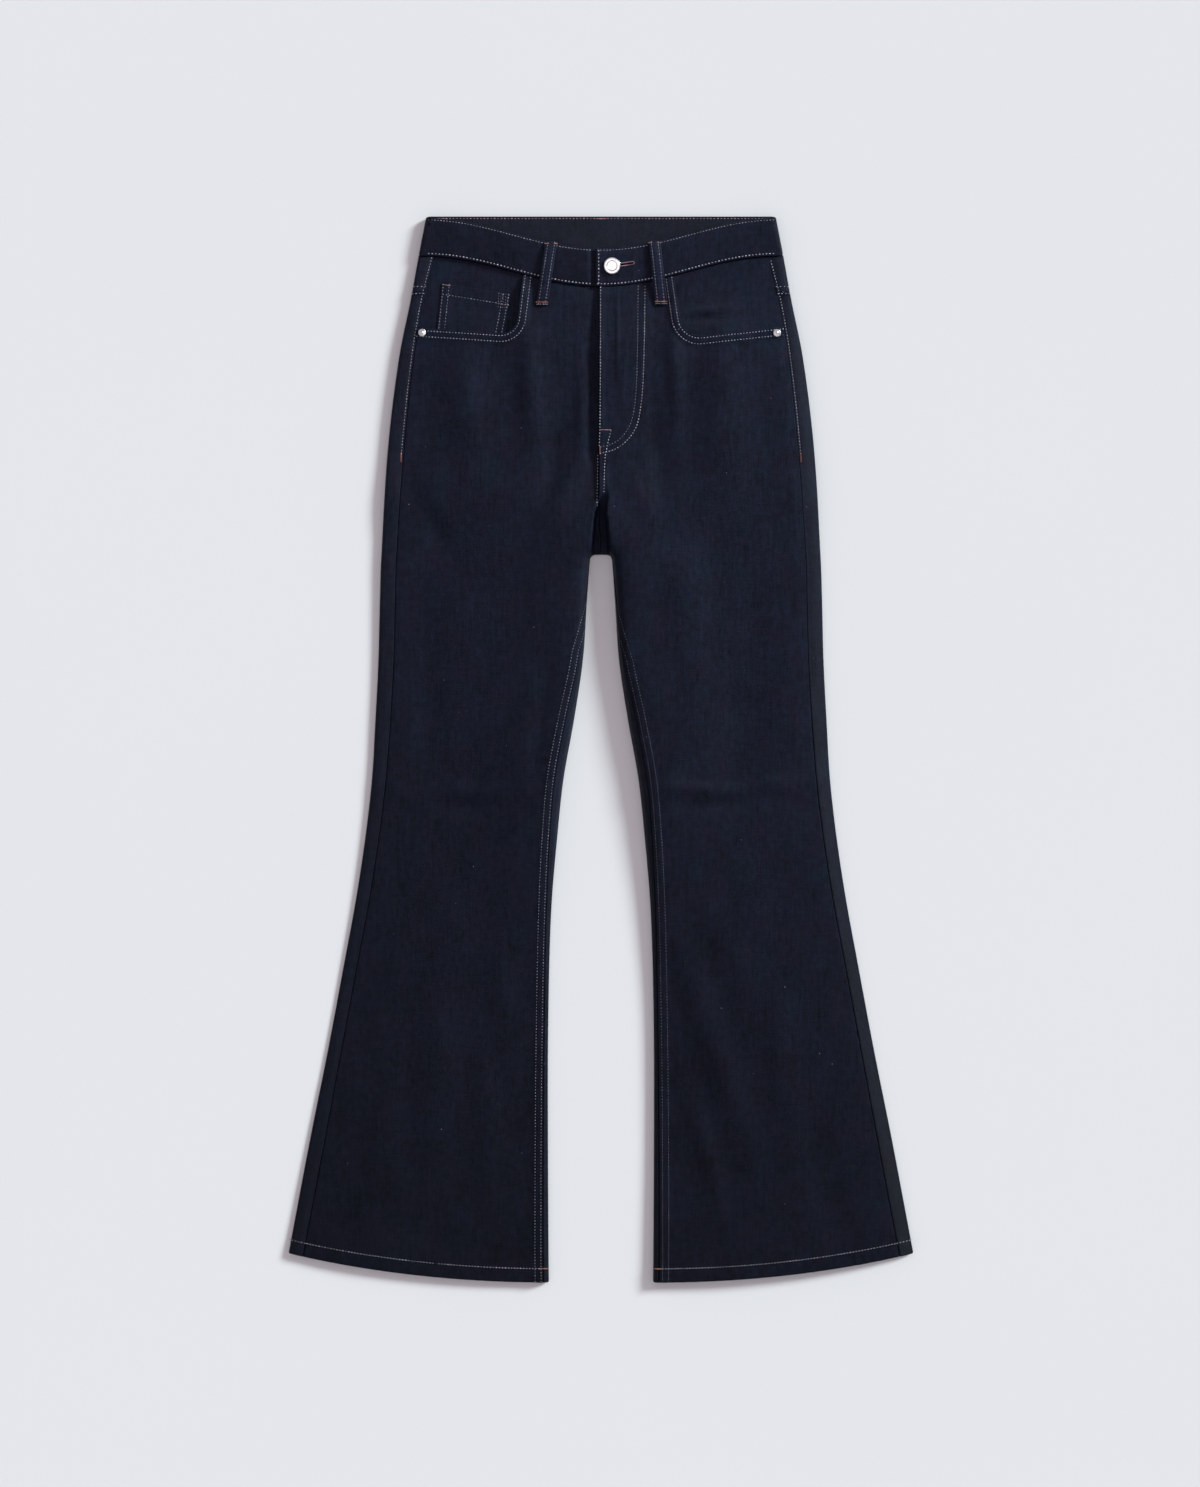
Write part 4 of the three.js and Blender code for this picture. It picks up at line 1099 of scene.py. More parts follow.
def make_waistband(material):
    x, angle, turning, on_left = band_stations()
    v = band_rows()[:, None]
    middle = len(v) // 2
    sine = np.sin(angle)
    share = (1 + sine) / 2
    plan = np.where(turning, x * WAIST_HALF, x)
    low = lerp(BAND_SEAM, front_band_seam(plan), share)
    high = lerp(TOP, front_band_top(plan), share)
    y = lerp(low, high, v)
    across = outer_at(y) - BAND_TURN * (1 - np.cos(angle))
    place_x = np.where(turning, x * across, x + 0 * y)
    lift = np.where(turning, 0, np.where(on_left, left_lift(x), right_drop(x)) * (sine > 0))
    slit = slit_depth(place_x, y) * (on_left & (sine > 0) & ~turning)
    relief = (band_detail(plan + 0 * y, y, low, high) + slit) * np.maximum(sine, 0)
    z = REST_HEIGHT + BAND_EDGE / 2 * (1 + sine) + lift + relief
    outer = np.stack([place_x, y, z], axis=-1)
    normal = unit(np.cross(np.gradient(outer, axis=1), np.gradient(outer, axis=0)))
    if normal[middle, 20, 2] < 0:
        normal = -normal
    run = np.concatenate([[0], np.cumsum(np.linalg.norm(np.diff(outer[middle], axis=0), axis=1))])
    edge_y = np.minimum(v, 1 - v) * (high - low)
    edge_x = np.minimum(run, run[-1] - run)
    uv = np.stack([np.broadcast_to(run, y.shape), y - low], axis=-1)
    grid_wall("cloth_waistband", outer, normal, BAND_WALL, np.minimum(edge_y, edge_x), uv, material,
              ["cloth_back_right", "cloth_back_left"], node="waistband", slot="band_denim")


LOOP_ROWS = (-3.4, 3.4)
LOOP_BULGE = 1.2
TACK_FOOT, TACK_HEAD = 3.4, 2.2  # bar tacks, from a loop's foot and from its head


def loop_form(base, foot, head, arch):
    """Height of a belt loop's outer face: tacked down at both ends and standing off between them."""
    length = head[1] - foot[1]

    def surface(x, y):
        run = y - foot[1]
        t = np.clip(run / length, 0, 1)
        aside = x - lerp(foot[0], head[0], t)
        tack = np.exp(-((run - TACK_FOOT) / 1.6) ** 2) + np.exp(-((length - run - TACK_HEAD) / 1.6) ** 2)
        rise = arch * np.sin(np.pi * t) ** 0.8 + LOOP_BULGE * np.cos(np.pi * aside / LOOP_WIDTH)
        rows = sum(channel(aside - at, 0.25) for at in LOOP_ROWS)
        return base(x, y) + GAP + PATCH_WALL + rise - 0.5 * tack + rows + 0.12 * uneven(run, 6, 1.7)

    return surface


def loop_strip(name, foot, head, surface, material, node):
    """A belt loop: a narrow strip whose outer face is the surface."""
    near = np.array(NEAR_EDGE[:5])
    half = LOOP_WIDTH / 2
    side = np.concatenate([near - half, np.linspace(near[-1] - half, half - near[-1], 11)[1:-1],
                           half - near[::-1]])
    length = head[1] - foot[1]
    run = np.concatenate([near, np.linspace(near[-1], length - near[-1], 36)[1:-1], length - near[::-1]])
    run = run[:, None]
    x = lerp(foot[0], head[0], run / length) + side
    y = foot[1] + run + 0 * side
    outer = np.stack([x, y, surface(x, y)], axis=-1)
    normal = unit(np.cross(np.gradient(outer, axis=1), np.gradient(outer, axis=0)))
    edge = np.minimum(half - np.abs(side), np.minimum(run, length - run))
    uv = np.stack([x - x[:, :1], y - foot[1]], axis=-1)
    grid_wall(name, outer, normal, PATCH_WALL, edge, uv, material, ["cloth_waistband"],
              node=node, slot="band_denim")


def loop_base(side):
    """What a front loop lies on: the panel at its foot, the band at its head."""

    def surface(x, y):
        across = side * x
        seam = front_band_seam(x)
        panel = front_z(side, across, np.minimum(y, seam), front_detail(side))
        band = BAND_TOP_Z + (left_lift(x) if side > 0 else 0) + 0.3
        return lerp(panel, band, smooth(seam - 9, seam - 1, y))

    return surface


def front_loop(side):
    """The foot, the head and the outer face of a front loop."""
    loop = FRONT_LOOPS[side]
    foot = (loop.foot_x, loop.foot_y)
    head = (loop.top_x, float(front_band_top(loop.top_x)) + 0.8)
    arch = bpy.context.scene.jeans_cloth.loop_arch / MM
    return foot, head, loop_form(loop_base(side), foot, head, arch)


def make_belt_loops(material):
    for name, side in SIDES:
        loop_strip(f"cloth_loop_front_{name}", *front_loop(side), material, f"belt_loop_front_{name}")
    half = LOOP_WIDTH / 2
    for name, x in BACK_LOOPS.items():
        corners = [(x - half, BACK_LOOP_FOOT), (x + half, BACK_LOOP_FOOT), (x + half, TOP), (x - half, TOP)]
        plan_wall(f"cloth_loop_{name}", straight_outline(corners, 2), level(PATCH_WALL), PATCH_WALL,
                  material, ["floor"], pitch=2.4, near=NEAR_EDGE[:4], node=f"belt_loop_{name}",
                  slot="band_denim")


# ---- fly shield and zip

def make_fly(denim, tape):
    """The layers behind the fly: the shield, and the closed zip on its tape."""

    def outline(left, right, foot):
        x = np.linspace(left, right, 12)
        low = np.column_stack([x, foot + 20 * ((x - left) / (right - left)) ** 2])
        high = np.column_stack([x, front_band_seam(x) - BAND_GAP])[::-1]
        return join_lines(low, [low[-1], high[0]], high, [high[-1], low[0]], step=3)

    def below(depth):
        """A surface this far under the right panel's edge and, further left, under the fly."""

        def surface(x, y):
            under_edge = front_z(-1, -x, y) - DENIM - GAP
            under_fly = front_z(1, x, y) - 2 * (DENIM + GAP)
            return lerp(under_edge, under_fly, smooth(2, 10, x)) - depth

        return surface

    plan_wall("cloth_fly_shield", outline(-12, 38, 322), below(ZIP_WALL + GAP), DENIM, denim,
              ["cloth_back_right", "cloth_back_left"], pitch=4, near=NEAR_HIDDEN_EDGE, node="fly_shield")
    plan_wall("cloth_zip_tape", outline(-10, 14, 324), below(0), ZIP_WALL, tape, ["cloth_fly_shield"],
              pitch=4, near=NEAR_HIDDEN_EDGE, node="zip", slot="zip_tape")


# ---- metal

def lathe(name, profile, centre, material, segments, node, lean=0.0):
    """A turned piece whose profile starts and ends on its axis, which leans to one side by an angle."""
    turn = np.linspace(0, 2 * np.pi, segments, endpoint=False)
    first, *ring, last = np.array(profile, float)
    body = [np.column_stack([r * np.cos(turn), r * np.sin(turn), np.full(segments, z)]) for r, z in ring]
    points = np.vstack([(0, 0, first[1]), *body, (0, 0, last[1])])
    sine, cosine = math.sin(lean), math.cos(lean)
    points = points @ np.array([[cosine, 0, -sine], [0, 1, 0], [sine, 0, cosine]]) + np.array(centre)
    final = 1 + (len(ring) - 1) * segments
    faces = []
    for k in range(segments):
        after = (k + 1) % segments
        faces.append((0, 1 + after, 1 + k))
        for start in range(1, final, segments):
            faces.append((start + k, start + after, start + after + segments, start + k + segments))
        faces.append((final + k, final + after, len(points) - 1))
    make_piece(name, points, faces, None, material, node, "metal")


def round_profile(corners):
    """A profile from corners of radius, height and rounding, each rounded by an arc of few steps."""
    spots = [np.array(corner[:2], float) for corner in corners]
    smoothed = [spots[0]]
    for before, here, after, corner in zip(spots[:-2], spots[1:-1], spots[2:], corners[1:-1]):
        rounding = corner[2]
        if rounding == 0:
            smoothed.append(here)
            continue
        first = here + unit(before - here) * rounding
        last = here + unit(after - here) * rounding
        for t in (0, 0.25, 0.5, 0.75, 1):
            smoothed.append((1 - t) ** 2 * first + 2 * t * (1 - t) * here + t * t * last)
    return [*smoothed, spots[-1]]


def make_metal(material):
    stem = BAND_WALL + 2 * GAP
    top = stem + BUTTON_RISE
    r = BUTTON_RADIUS
    button = round_profile([
        (0, 0, 0), (2.5, 0, 0), (2.5, stem, 0),  # stem
        (r - 0.9, stem, 0.3), (r, stem + 0.9, 0.4), (r, top - 1.0, 0.4),  # underside and edge
        (r - 0.7, top - 0.33, 0.4), (r - 2.2, top - 0.30, 0.3), (r - 2.8, top - 0.35, 0.4),  # rim
        (3.5, top - 0.32, 2.0), (0, top - 0.3, 0),  # face
    ])
    lathe("button_cap", button, (BUTTON_X, BUTTON_Y, BAND_TOP_Z + BAND_LIFT - BAND_WALL), material, 72,
          "button")
    r, h = RIVET_RADIUS, RIVET_RISE
    rivet = round_profile([
        (0, 0, 0), (r - 0.3, 0, 0), (r, 0.4, 0.2), (r - 0.25, 0.8, 0.3),  # flange
        (r - 1.6, h * 0.72, 0.5), (1.5, h * 0.8, 0.3),  # dish
        (1.0, h + 0.25, 0.4), (0, h + 0.45, 0),  # nipple
    ])
    turn = np.linspace(0, 2 * math.pi, 12, endpoint=False)
    for name, side in SIDES:
        x, y = RIVETS[side]
        around = front_z(side, x + 0.8 * r * np.cos(turn), y + 0.8 * r * np.sin(turn), front_detail(side))
        seat = float(around.max()) - 0.15
        lathe(f"rivet_cap_{name}", rivet, (side * x, y, seat), material, 40, f"rivet_{name}",
              math.radians(RIVET_LEAN[side]))


# ---- rows of stitches

ROW_STEP = 1.6  # from point to point of a row, before it is stitched
TWIN_ROWS = (1.6, 7.6)  # from a felled edge
POCKET_ROWS = (1.8, 7.8)  # from a back pocket's edge, and beside the centre seam


def row_on(line, surface, side=1, lift=0.15, facing=1):
    """A row laid on a surface: its points, the surface's normals and the row's direction."""
    x, y = resample(line, ROW_STEP).T
    step = 0.35
    slope_x = (surface(x + step, y) - surface(x - step, y)) / (2 * step)
    slope_y = (surface(x, y + step) - surface(x, y - step)) / (2 * step)
    normal = unit(facing * np.column_stack([-side * slope_x, -slope_y, np.ones(len(x))]))
    points = np.column_stack([side * x, y, surface(x, y)]) + normal * lift
    return points, normal, np.gradient(points, axis=0)


def tack_on(line, surface, side=1):
    """A bar tack: close stitches that lie across its line, each slanted against the next."""
    points, normal, along = row_on(line, surface, side, lift=0.25)
    slant = np.where(np.arange(len(points)) % 2 == 0, 0.25, -0.25)[:, None]
    return points, normal, np.cross(normal, along) + slant * along


def rows_mesh(name, rows):
    """One mesh of open lines; every point keeps its surface's normal and its stitch's direction."""
    edges, start = [], 0
    for row_points, _, _ in rows:
        stop = start + len(row_points)
        edges += [(k, k + 1) for k in range(start, stop - 1)]
        start = stop
    points, normals, along = (np.vstack(parts) for parts in zip(*rows))
    mesh = bpy.data.meshes.new(name)
    mesh.from_pydata(points * MM, edges, [])
    for label, vectors in (("normal", normals), ("along", unit(along))):
        attribute = mesh.attributes.new(label, "FLOAT_VECTOR", "POINT")
        attribute.data.foreach_set("vector", vectors.astype(np.float32).ravel())
    return mesh


def add_node(tree, kind, inputs=None, **settings):
    """Add a node. Inputs maps a socket's name or number to a value, to another node's output, or to
    a node, which stands for its first output."""
    made = tree.nodes.new(kind)
    for setting, value in settings.items():
        setattr(made, setting, value)
    for socket, value in (inputs or {}).items():
        if isinstance(value, bpy.types.Node):
            value = value.outputs[0]
        if isinstance(value, bpy.types.NodeSocket):
            tree.links.new(value, made.inputs[socket])
        else:
            made.inputs[socket].default_value = value
    return made


STITCH_INPUTS = {
    "Pitch": ("NodeSocketFloat", 0.0033),
    "Length": ("NodeSocketFloat", 0.0027),
    "Width": ("NodeSocketFloat", 0.0007),
    "Height": ("NodeSocketFloat", 0.0005),
    "Unevenness": ("NodeSocketFloat", 0.12),
    "Seed": ("NodeSocketInt", 0),
    "Thread": ("NodeSocketMaterial", None),
}


def stitch_tree():
    """Lays a stitch every pitch along each line, turned to the line's stored directions."""
    tree = bpy.data.node_groups.new("stitch_rows", "GeometryNodeTree")
    tree.interface.new_socket("Geometry", in_out="INPUT", socket_type="NodeSocketGeometry")
    for name, (kind, value) in STITCH_INPUTS.items():
        socket = tree.interface.new_socket(name, in_out="INPUT", socket_type=kind)
        if value is not None:
            socket.default_value = value
    tree.interface.new_socket("Geometry", in_out="OUTPUT", socket_type="NodeSocketGeometry")
    add = partial(add_node, tree)
    given = add("NodeGroupInput").outputs
    curve = add("GeometryNodeMeshToCurve", {"Mesh": given["Geometry"]})
    even = add("GeometryNodeResampleCurve", {"Curve": curve, "Length": given["Pitch"]}, mode="LENGTH")
    normal, along = (add("GeometryNodeInputNamedAttribute", {"Name": name}, data_type="FLOAT_VECTOR")
                     for name in ("normal", "along"))
    turn = add("FunctionNodeAxesToRotation", {0: normal, 1: along}, primary_axis="Z", secondary_axis="X")
    ball = add("GeometryNodeMeshUVSphere", {"Segments": 6, "Rings": 5, "Radius": 0.5})
    size = add("ShaderNodeCombineXYZ", {"X": given["Length"], "Y": given["Width"], "Z": given["Height"]})
    stitch = add("GeometryNodeTransform", {"Geometry": ball, "Scale": size})
    least, most = (add("ShaderNodeMath", {0: 1.0, 1: given["Unevenness"]}, operation=way)
                   for way in ("SUBTRACT", "ADD"))
    scale = add("FunctionNodeRandomValue", {2: least, 3: most, "Seed": given["Seed"]}, data_type="FLOAT")
    laid = add("GeometryNodeInstanceOnPoints",
               {"Points": even, "Instance": stitch, "Rotation": turn, "Scale": scale.outputs[1]})
    real = add("GeometryNodeRealizeInstances", {"Geometry": laid})
    rounded = add("GeometryNodeSetShadeSmooth", {"Geometry": real})
    dyed = add("GeometryNodeSetMaterial", {"Geometry": rounded, "Material": given["Thread"]})
    add("NodeGroupOutput", {"Geometry": dyed})
    return tree


def sew(name, rows, thread, kind, share=1, slot="denim", **changes):
    """Turn rows into stitches of thread, as one plain mesh riding on the garment."""
    tree = bpy.data.node_groups.get("stitch_rows") or stitch_tree()
    guide = bpy.data.objects.new(name + "_guide", rows_mesh(name + "_guide", rows))
    bpy.context.scene.collection.objects.link(guide)
    modifier = guide.modifiers.new("stitches", "NODES")
    modifier.node_group = tree
    identifiers = {item.name: item.identifier for item in tree.interface.items_tree
                   if item.in_out == "INPUT"}
    inputs = {**stitch_sizes(kind, share), **changes, "Thread": finish_of(thread)}
    for label, value in inputs.items():
        modifier[identifiers[label]] = value
    guide.update_tag()
    evaluated = guide.evaluated_get(bpy.context.evaluated_depsgraph_get())
    mesh = bpy.data.meshes.new_from_object(evaluated)
    mesh.name = name
    bpy.data.objects.remove(guide)
    for label in ("normal", "along"):
        if label in mesh.attributes:
            mesh.attributes.remove(mesh.attributes[label])
    add_piece(name, mesh)


def bar(x, y, reach):
    """A level line in plan, this far to both sides of a point."""
    return [(x - reach, y), (x + reach, y)]


def hem_row(inner_gap, outer_gap):
    """The hem's row in plan, ending these distances from both folds."""
    x = np.linspace(leg_inner_at(LEG_FOOT) + inner_gap, outer_at(HEM_SIDE) - outer_gap, 120)
    return np.column_stack([x, hem_edge(x) + HEM_ROW])


def front_rows(side):
    """Rows of one front panel and of the back's strip beside it."""
    panel, strip = panel_surface(side), strip_surface(side)
    rows = [row_on(mouth_curve(side, inset, 2)[1:-1], panel, side) for inset in MOUTH_ROWS]
    hem = hem_row(1.5, 1.5)
    on_panel = hem[:, 0] < side_seam_x(hem[:, 1])
    rows += [row_on(hem[on_panel], panel, side), row_on(hem[~on_panel], strip, side)]
    edge_y = np.linspace(SIDE_ROW_FOOT, 502, 90)
    rows.append(row_on(np.column_stack([side_seam_x(edge_y) + SIDE_ROW, edge_y]), strip, side))
    for y in (YOKE_SIDE + 3.9, YOKE_SIDE - 3.3):
        rows.append(row_on([(side_seam_x(y) + 0.8, y), (outer_at(y) - 1, y)], strip, side))
    return rows


def inseam_rows(side):
    """Both rows of the felled inseam, from where it comes round the inner fold down to the hem."""
    y = np.linspace(150, float(hem_edge(front_inner(side, LEG_FOOT))) + 1, 400)
    shift = 1.6 if side > 0 else 0
    round_the_fold = inner_at(y) + 0.222 * (153 - y)
    outer = np.minimum(front_inner(side, y) + FELL_ROWS[1] + shift, round_the_fold)
    rows = []
    for inset in (FELL_ROWS[1] - FELL_ROWS[0], 0):
        across = outer - inset
        seen = across - inner_at(y) > 0.8
        rows.append(row_on(np.column_stack([across[seen], y[seen]]), panel_surface(side), side))
    return rows


def fly_thread_rows():
    """The J's outer row, the row beside the opening, and the rows that run on down to the fork."""
    left, right = panel_surface(1), panel_surface(-1)
    return [
        row_on(round_curve(FLY_J_OUTER), left),
        row_on([(-0.5, 472), (-0.7, 390), (-1.2, 325), (-1.8, 310)], left),
        row_on([(10.0, 325), (6.8, 312), (4.4, 300), (3.6, 288), (3.0, 263)], left),
        row_on([(3.2, 300), (3.6, 272), (4.2, 249)], right, side=-1, lift=0.4),
    ]


def coin_rows():
    """Twin rows down both sides of the coin pocket and one along its hemmed mouth."""
    in_top, out_top, out_foot, in_foot = np.array(COIN_POCKET)
    rows = []
    for top, foot, inward in ((out_top, out_foot, -1), (in_top, in_foot, 1)):
        for inset in TWIN_ROWS:
            start = top + (inward * inset, -1.2)
            rows.append(row_on([start, foot + (inward * inset, 0)], coin_height, -1))
    rows.append(row_on([out_top - (1.6, COIN_HEM_ROW), in_top + (2.2, -COIN_HEM_ROW)], coin_height, -1))
    return rows


def band_row(side, edge, shift):
    """A row along the band's edge, on the front of one side."""
    start, stop = (BAND_LEFT_END + 2, BAND_FACE) if side > 0 else (-BAND_FACE, BAND_FLAT - 4)
    x = np.linspace(start, stop, 120)
    return row_on(np.column_stack([x, edge(x) + shift]), partial(band_z, side=side))


def band_top_rows():
    return [band_row(side, front_band_top, -BAND_ROWS[1]) for side in (1, -1)]


def band_thread_rows():
    """The row above the band's lower edge, and the one down its folded end."""
    x = BAND_LEFT_END + 2.8
    end = [(x, front_band_seam(x) + 3), (x, front_band_top(x) - 3)]
    return [*(band_row(side, front_band_seam, BAND_ROWS[0]) for side in (1, -1)),
            row_on(end, partial(band_z, side=1))]


def inner_band_rows():
    """The row under the top edge of the band's inner face, which shows behind the front."""
    return [row_on(bar(0, TOP - 2.2, 172), level(INNER_BAND_Z), lift=0.2)]


def loop_rows():
    """Twin rows up each front loop, and the row across its foot."""
    rows = []
    for side in (-1, 1):
        (foot_x, foot_y), (head_x, head_y), surface = front_loop(side)
        for shift in LOOP_ROWS:
            rows.append(row_on([(foot_x + shift, foot_y + 1.5), (head_x + shift, head_y - 1.5)], surface))
        rows.append(row_on(bar(foot_x, foot_y + 1.2, 5), surface))
    return rows


def underside(side):
    """The face that lies on the floor, lifted a little at the seat and in its shallow troughs."""
    return lambda x, y: rest_at(y) + folds_at(BACK_FOLDS, side, side * x, y)


def back_rows(side):
    """Rows of the seat and the hem: beside the yoke seam, round the pocket and down the centre."""
    seat = underside(side)
    x = np.linspace(4, 215, 80)
    y = lerp(YOKE_CENTRE, YOKE_SIDE, np.clip(x / outer_at(460), 0, 1))
    keep = x < outer_at(y) - 5
    rows = [row_on(np.column_stack([x[keep], y[keep] + shift]), seat, side, -0.1, -1)
            for shift in TWIN_ROWS]
    pocket = np.array([*BACK_POCKET, BACK_POCKET[0]], float)
    centre = np.mean(BACK_POCKET, axis=0)
    for inset in POCKET_ROWS:
        ring = pocket + (centre - pocket) * inset / POCKET_HALF
        rows += [row_on(ring[k:k + 2], level(0), side, -0.05, -1) for k in range(5)]
    if side > 0:
        centre_y = np.linspace(210, 432, 60)
        rows += [row_on(np.column_stack([0 * centre_y + shift, centre_y]), seat, 1, -0.1, -1)
                 for shift in POCKET_ROWS]
    rows.append(row_on(hem_row(5, 6), seat, side, -0.05, -1))
    return rows


def tack_rows():
    """Bar tacks in rust thread: belt loops, side rows, hems, fly and the band's inner edge."""
    rows = []
    half = LOOP_WIDTH / 2 - 0.4
    side_y = SIDE_ROW_FOOT - 0.5
    for side in (-1, 1):
        (foot_x, foot_y), (head_x, head_y), surface = front_loop(side)
        rows.append(tack_on(bar(foot_x, foot_y + TACK_FOOT, half), surface))
        for x in (head_x - 4.4, head_x + 4.4):
            rows.append(tack_on(bar(x, head_y - TACK_HEAD, 1.6), surface))
        x = side_seam_x(side_y) + SIDE_ROW
        rows.append(tack_on([(x, side_y - 4.5), (x, side_y + 4.5)], strip_surface(side), side))
        inner = leg_inner_at(LEG_FOOT)
        hem = hem_edge(inner + 3) + HEM_ROW
        rows.append(tack_on([(inner + 1.5, hem), (inner + 9, hem)], panel_surface(side), side))
    rows.append(tack_on([(-1.2, 308.6), (-1.0, 301.6)], panel_surface(1)))
    for x, reach in ((0, 5), (-166, 8)):
        rows.append(tack_on(bar(x, TOP - 2.4, reach), level(INNER_BAND_Z)))
    return rows


def rose_tack_rows():
    """Finer tacks in rose thread: across the fly's foot and at the coin pocket's outer corner."""
    corner = np.array(COIN_POCKET[1])
    return [tack_on([(-1.4, 326), (10.2, 326)], panel_surface(1)),
            tack_on([corner + (-0.8, -1.4), corner + (-8.4, -2.4)], coin_height, -1)]


def coin_corner_rows():
    """The coin pocket's inner corner, held by short rows close together."""
    corner = np.array(COIN_POCKET[0])
    starts = [corner + (inset, -1.4 + 0.15 * inset) for inset in (2.2, 4.6, 7.0, 9.4, 11.8)]
    return [row_on([start, start + (0.7, -13.5)], coin_height, -1) for start in starts]


def buttonhole_rows():
    """Satin stitches along both sides of the slit and round its end."""
    start, stop = np.array([BUTTON_X, BUTTON_Y]), np.array(BUTTONHOLE_END)
    heading = unit(stop - start)
    aside = heading @ QUARTER_TURN * BUTTONHOLE_HALF
    start = start + heading * 5
    ring = [start + aside, stop + aside]
    for turn in (0.6, 1.2, 1.9, 2.5):
        ring.append(stop + math.cos(turn) * aside + BUTTONHOLE_HALF * math.sin(turn) * heading)
    ring += [stop - aside, start - aside]
    return [tack_on(ring, lambda x, y: band_z(x, y, 1) - slit_depth(x, y) + 0.2)]


# ---- materials

def linear(hex_colour):
    """An sRGB hex colour as linear RGBA."""
    value = hex_colour.lstrip("#")
    channels = [int(value[k:k + 2], 16) / 255 for k in (0, 2, 4)]
    return tuple(c / 12.92 if c <= 0.04045 else ((c + 0.055) / 1.055) ** 2.4 for c in channels) + (1.0,)


def start_material(name):
    """A new material, and what adds a node to it."""
    material = bpy.data.materials.new(name)
    material.use_nodes = True
    material.node_tree.nodes.clear()
    return material, partial(add_node, material.node_tree)


def per_mm(across, along):
    """The scale that makes a pattern's features this many millimetres in each direction."""
    return 1 / (across * MM), 1 / (along * MM), 1 / (along * MM)


# Size across and along the warp in mm, detail and share of the tone. A yarn is 0.45 mm across;
# slubs are drawn twice as coarse, so that they show.
DENIM_TONES = (
    (1.1, 22, 2.0, 1.05),  # slubs along the warp
    (3.6, 60, 1.0, 0.55),  # bands of thicker and thinner yarns
    (22, 1.2, 2.0, 0.80),  # weft showing through, row by row
    (1.6, 1.6, 2.0, 1.25),  # hairy, uneven surface
    (5, 8, 2.0, 1.20),  # mottled dye
    (30, 44, 3.0, 1.00),  # cloudy dye
    (140, 190, 1.0, 0.40),  # slow drift of the dye
)
# The rib's wales are 1 mm apart and climb at 63 degrees, whose sine and cosine these are.
WALE_PHASE = (2 * math.pi * 0.891 / MM, -2 * math.pi * 0.454 / MM, 0.0)
NEP_CELL, NEP_RADIUS, NEP_BARE = 16, 0.036, 0.68  # a square in mm, and shares of it and of all squares


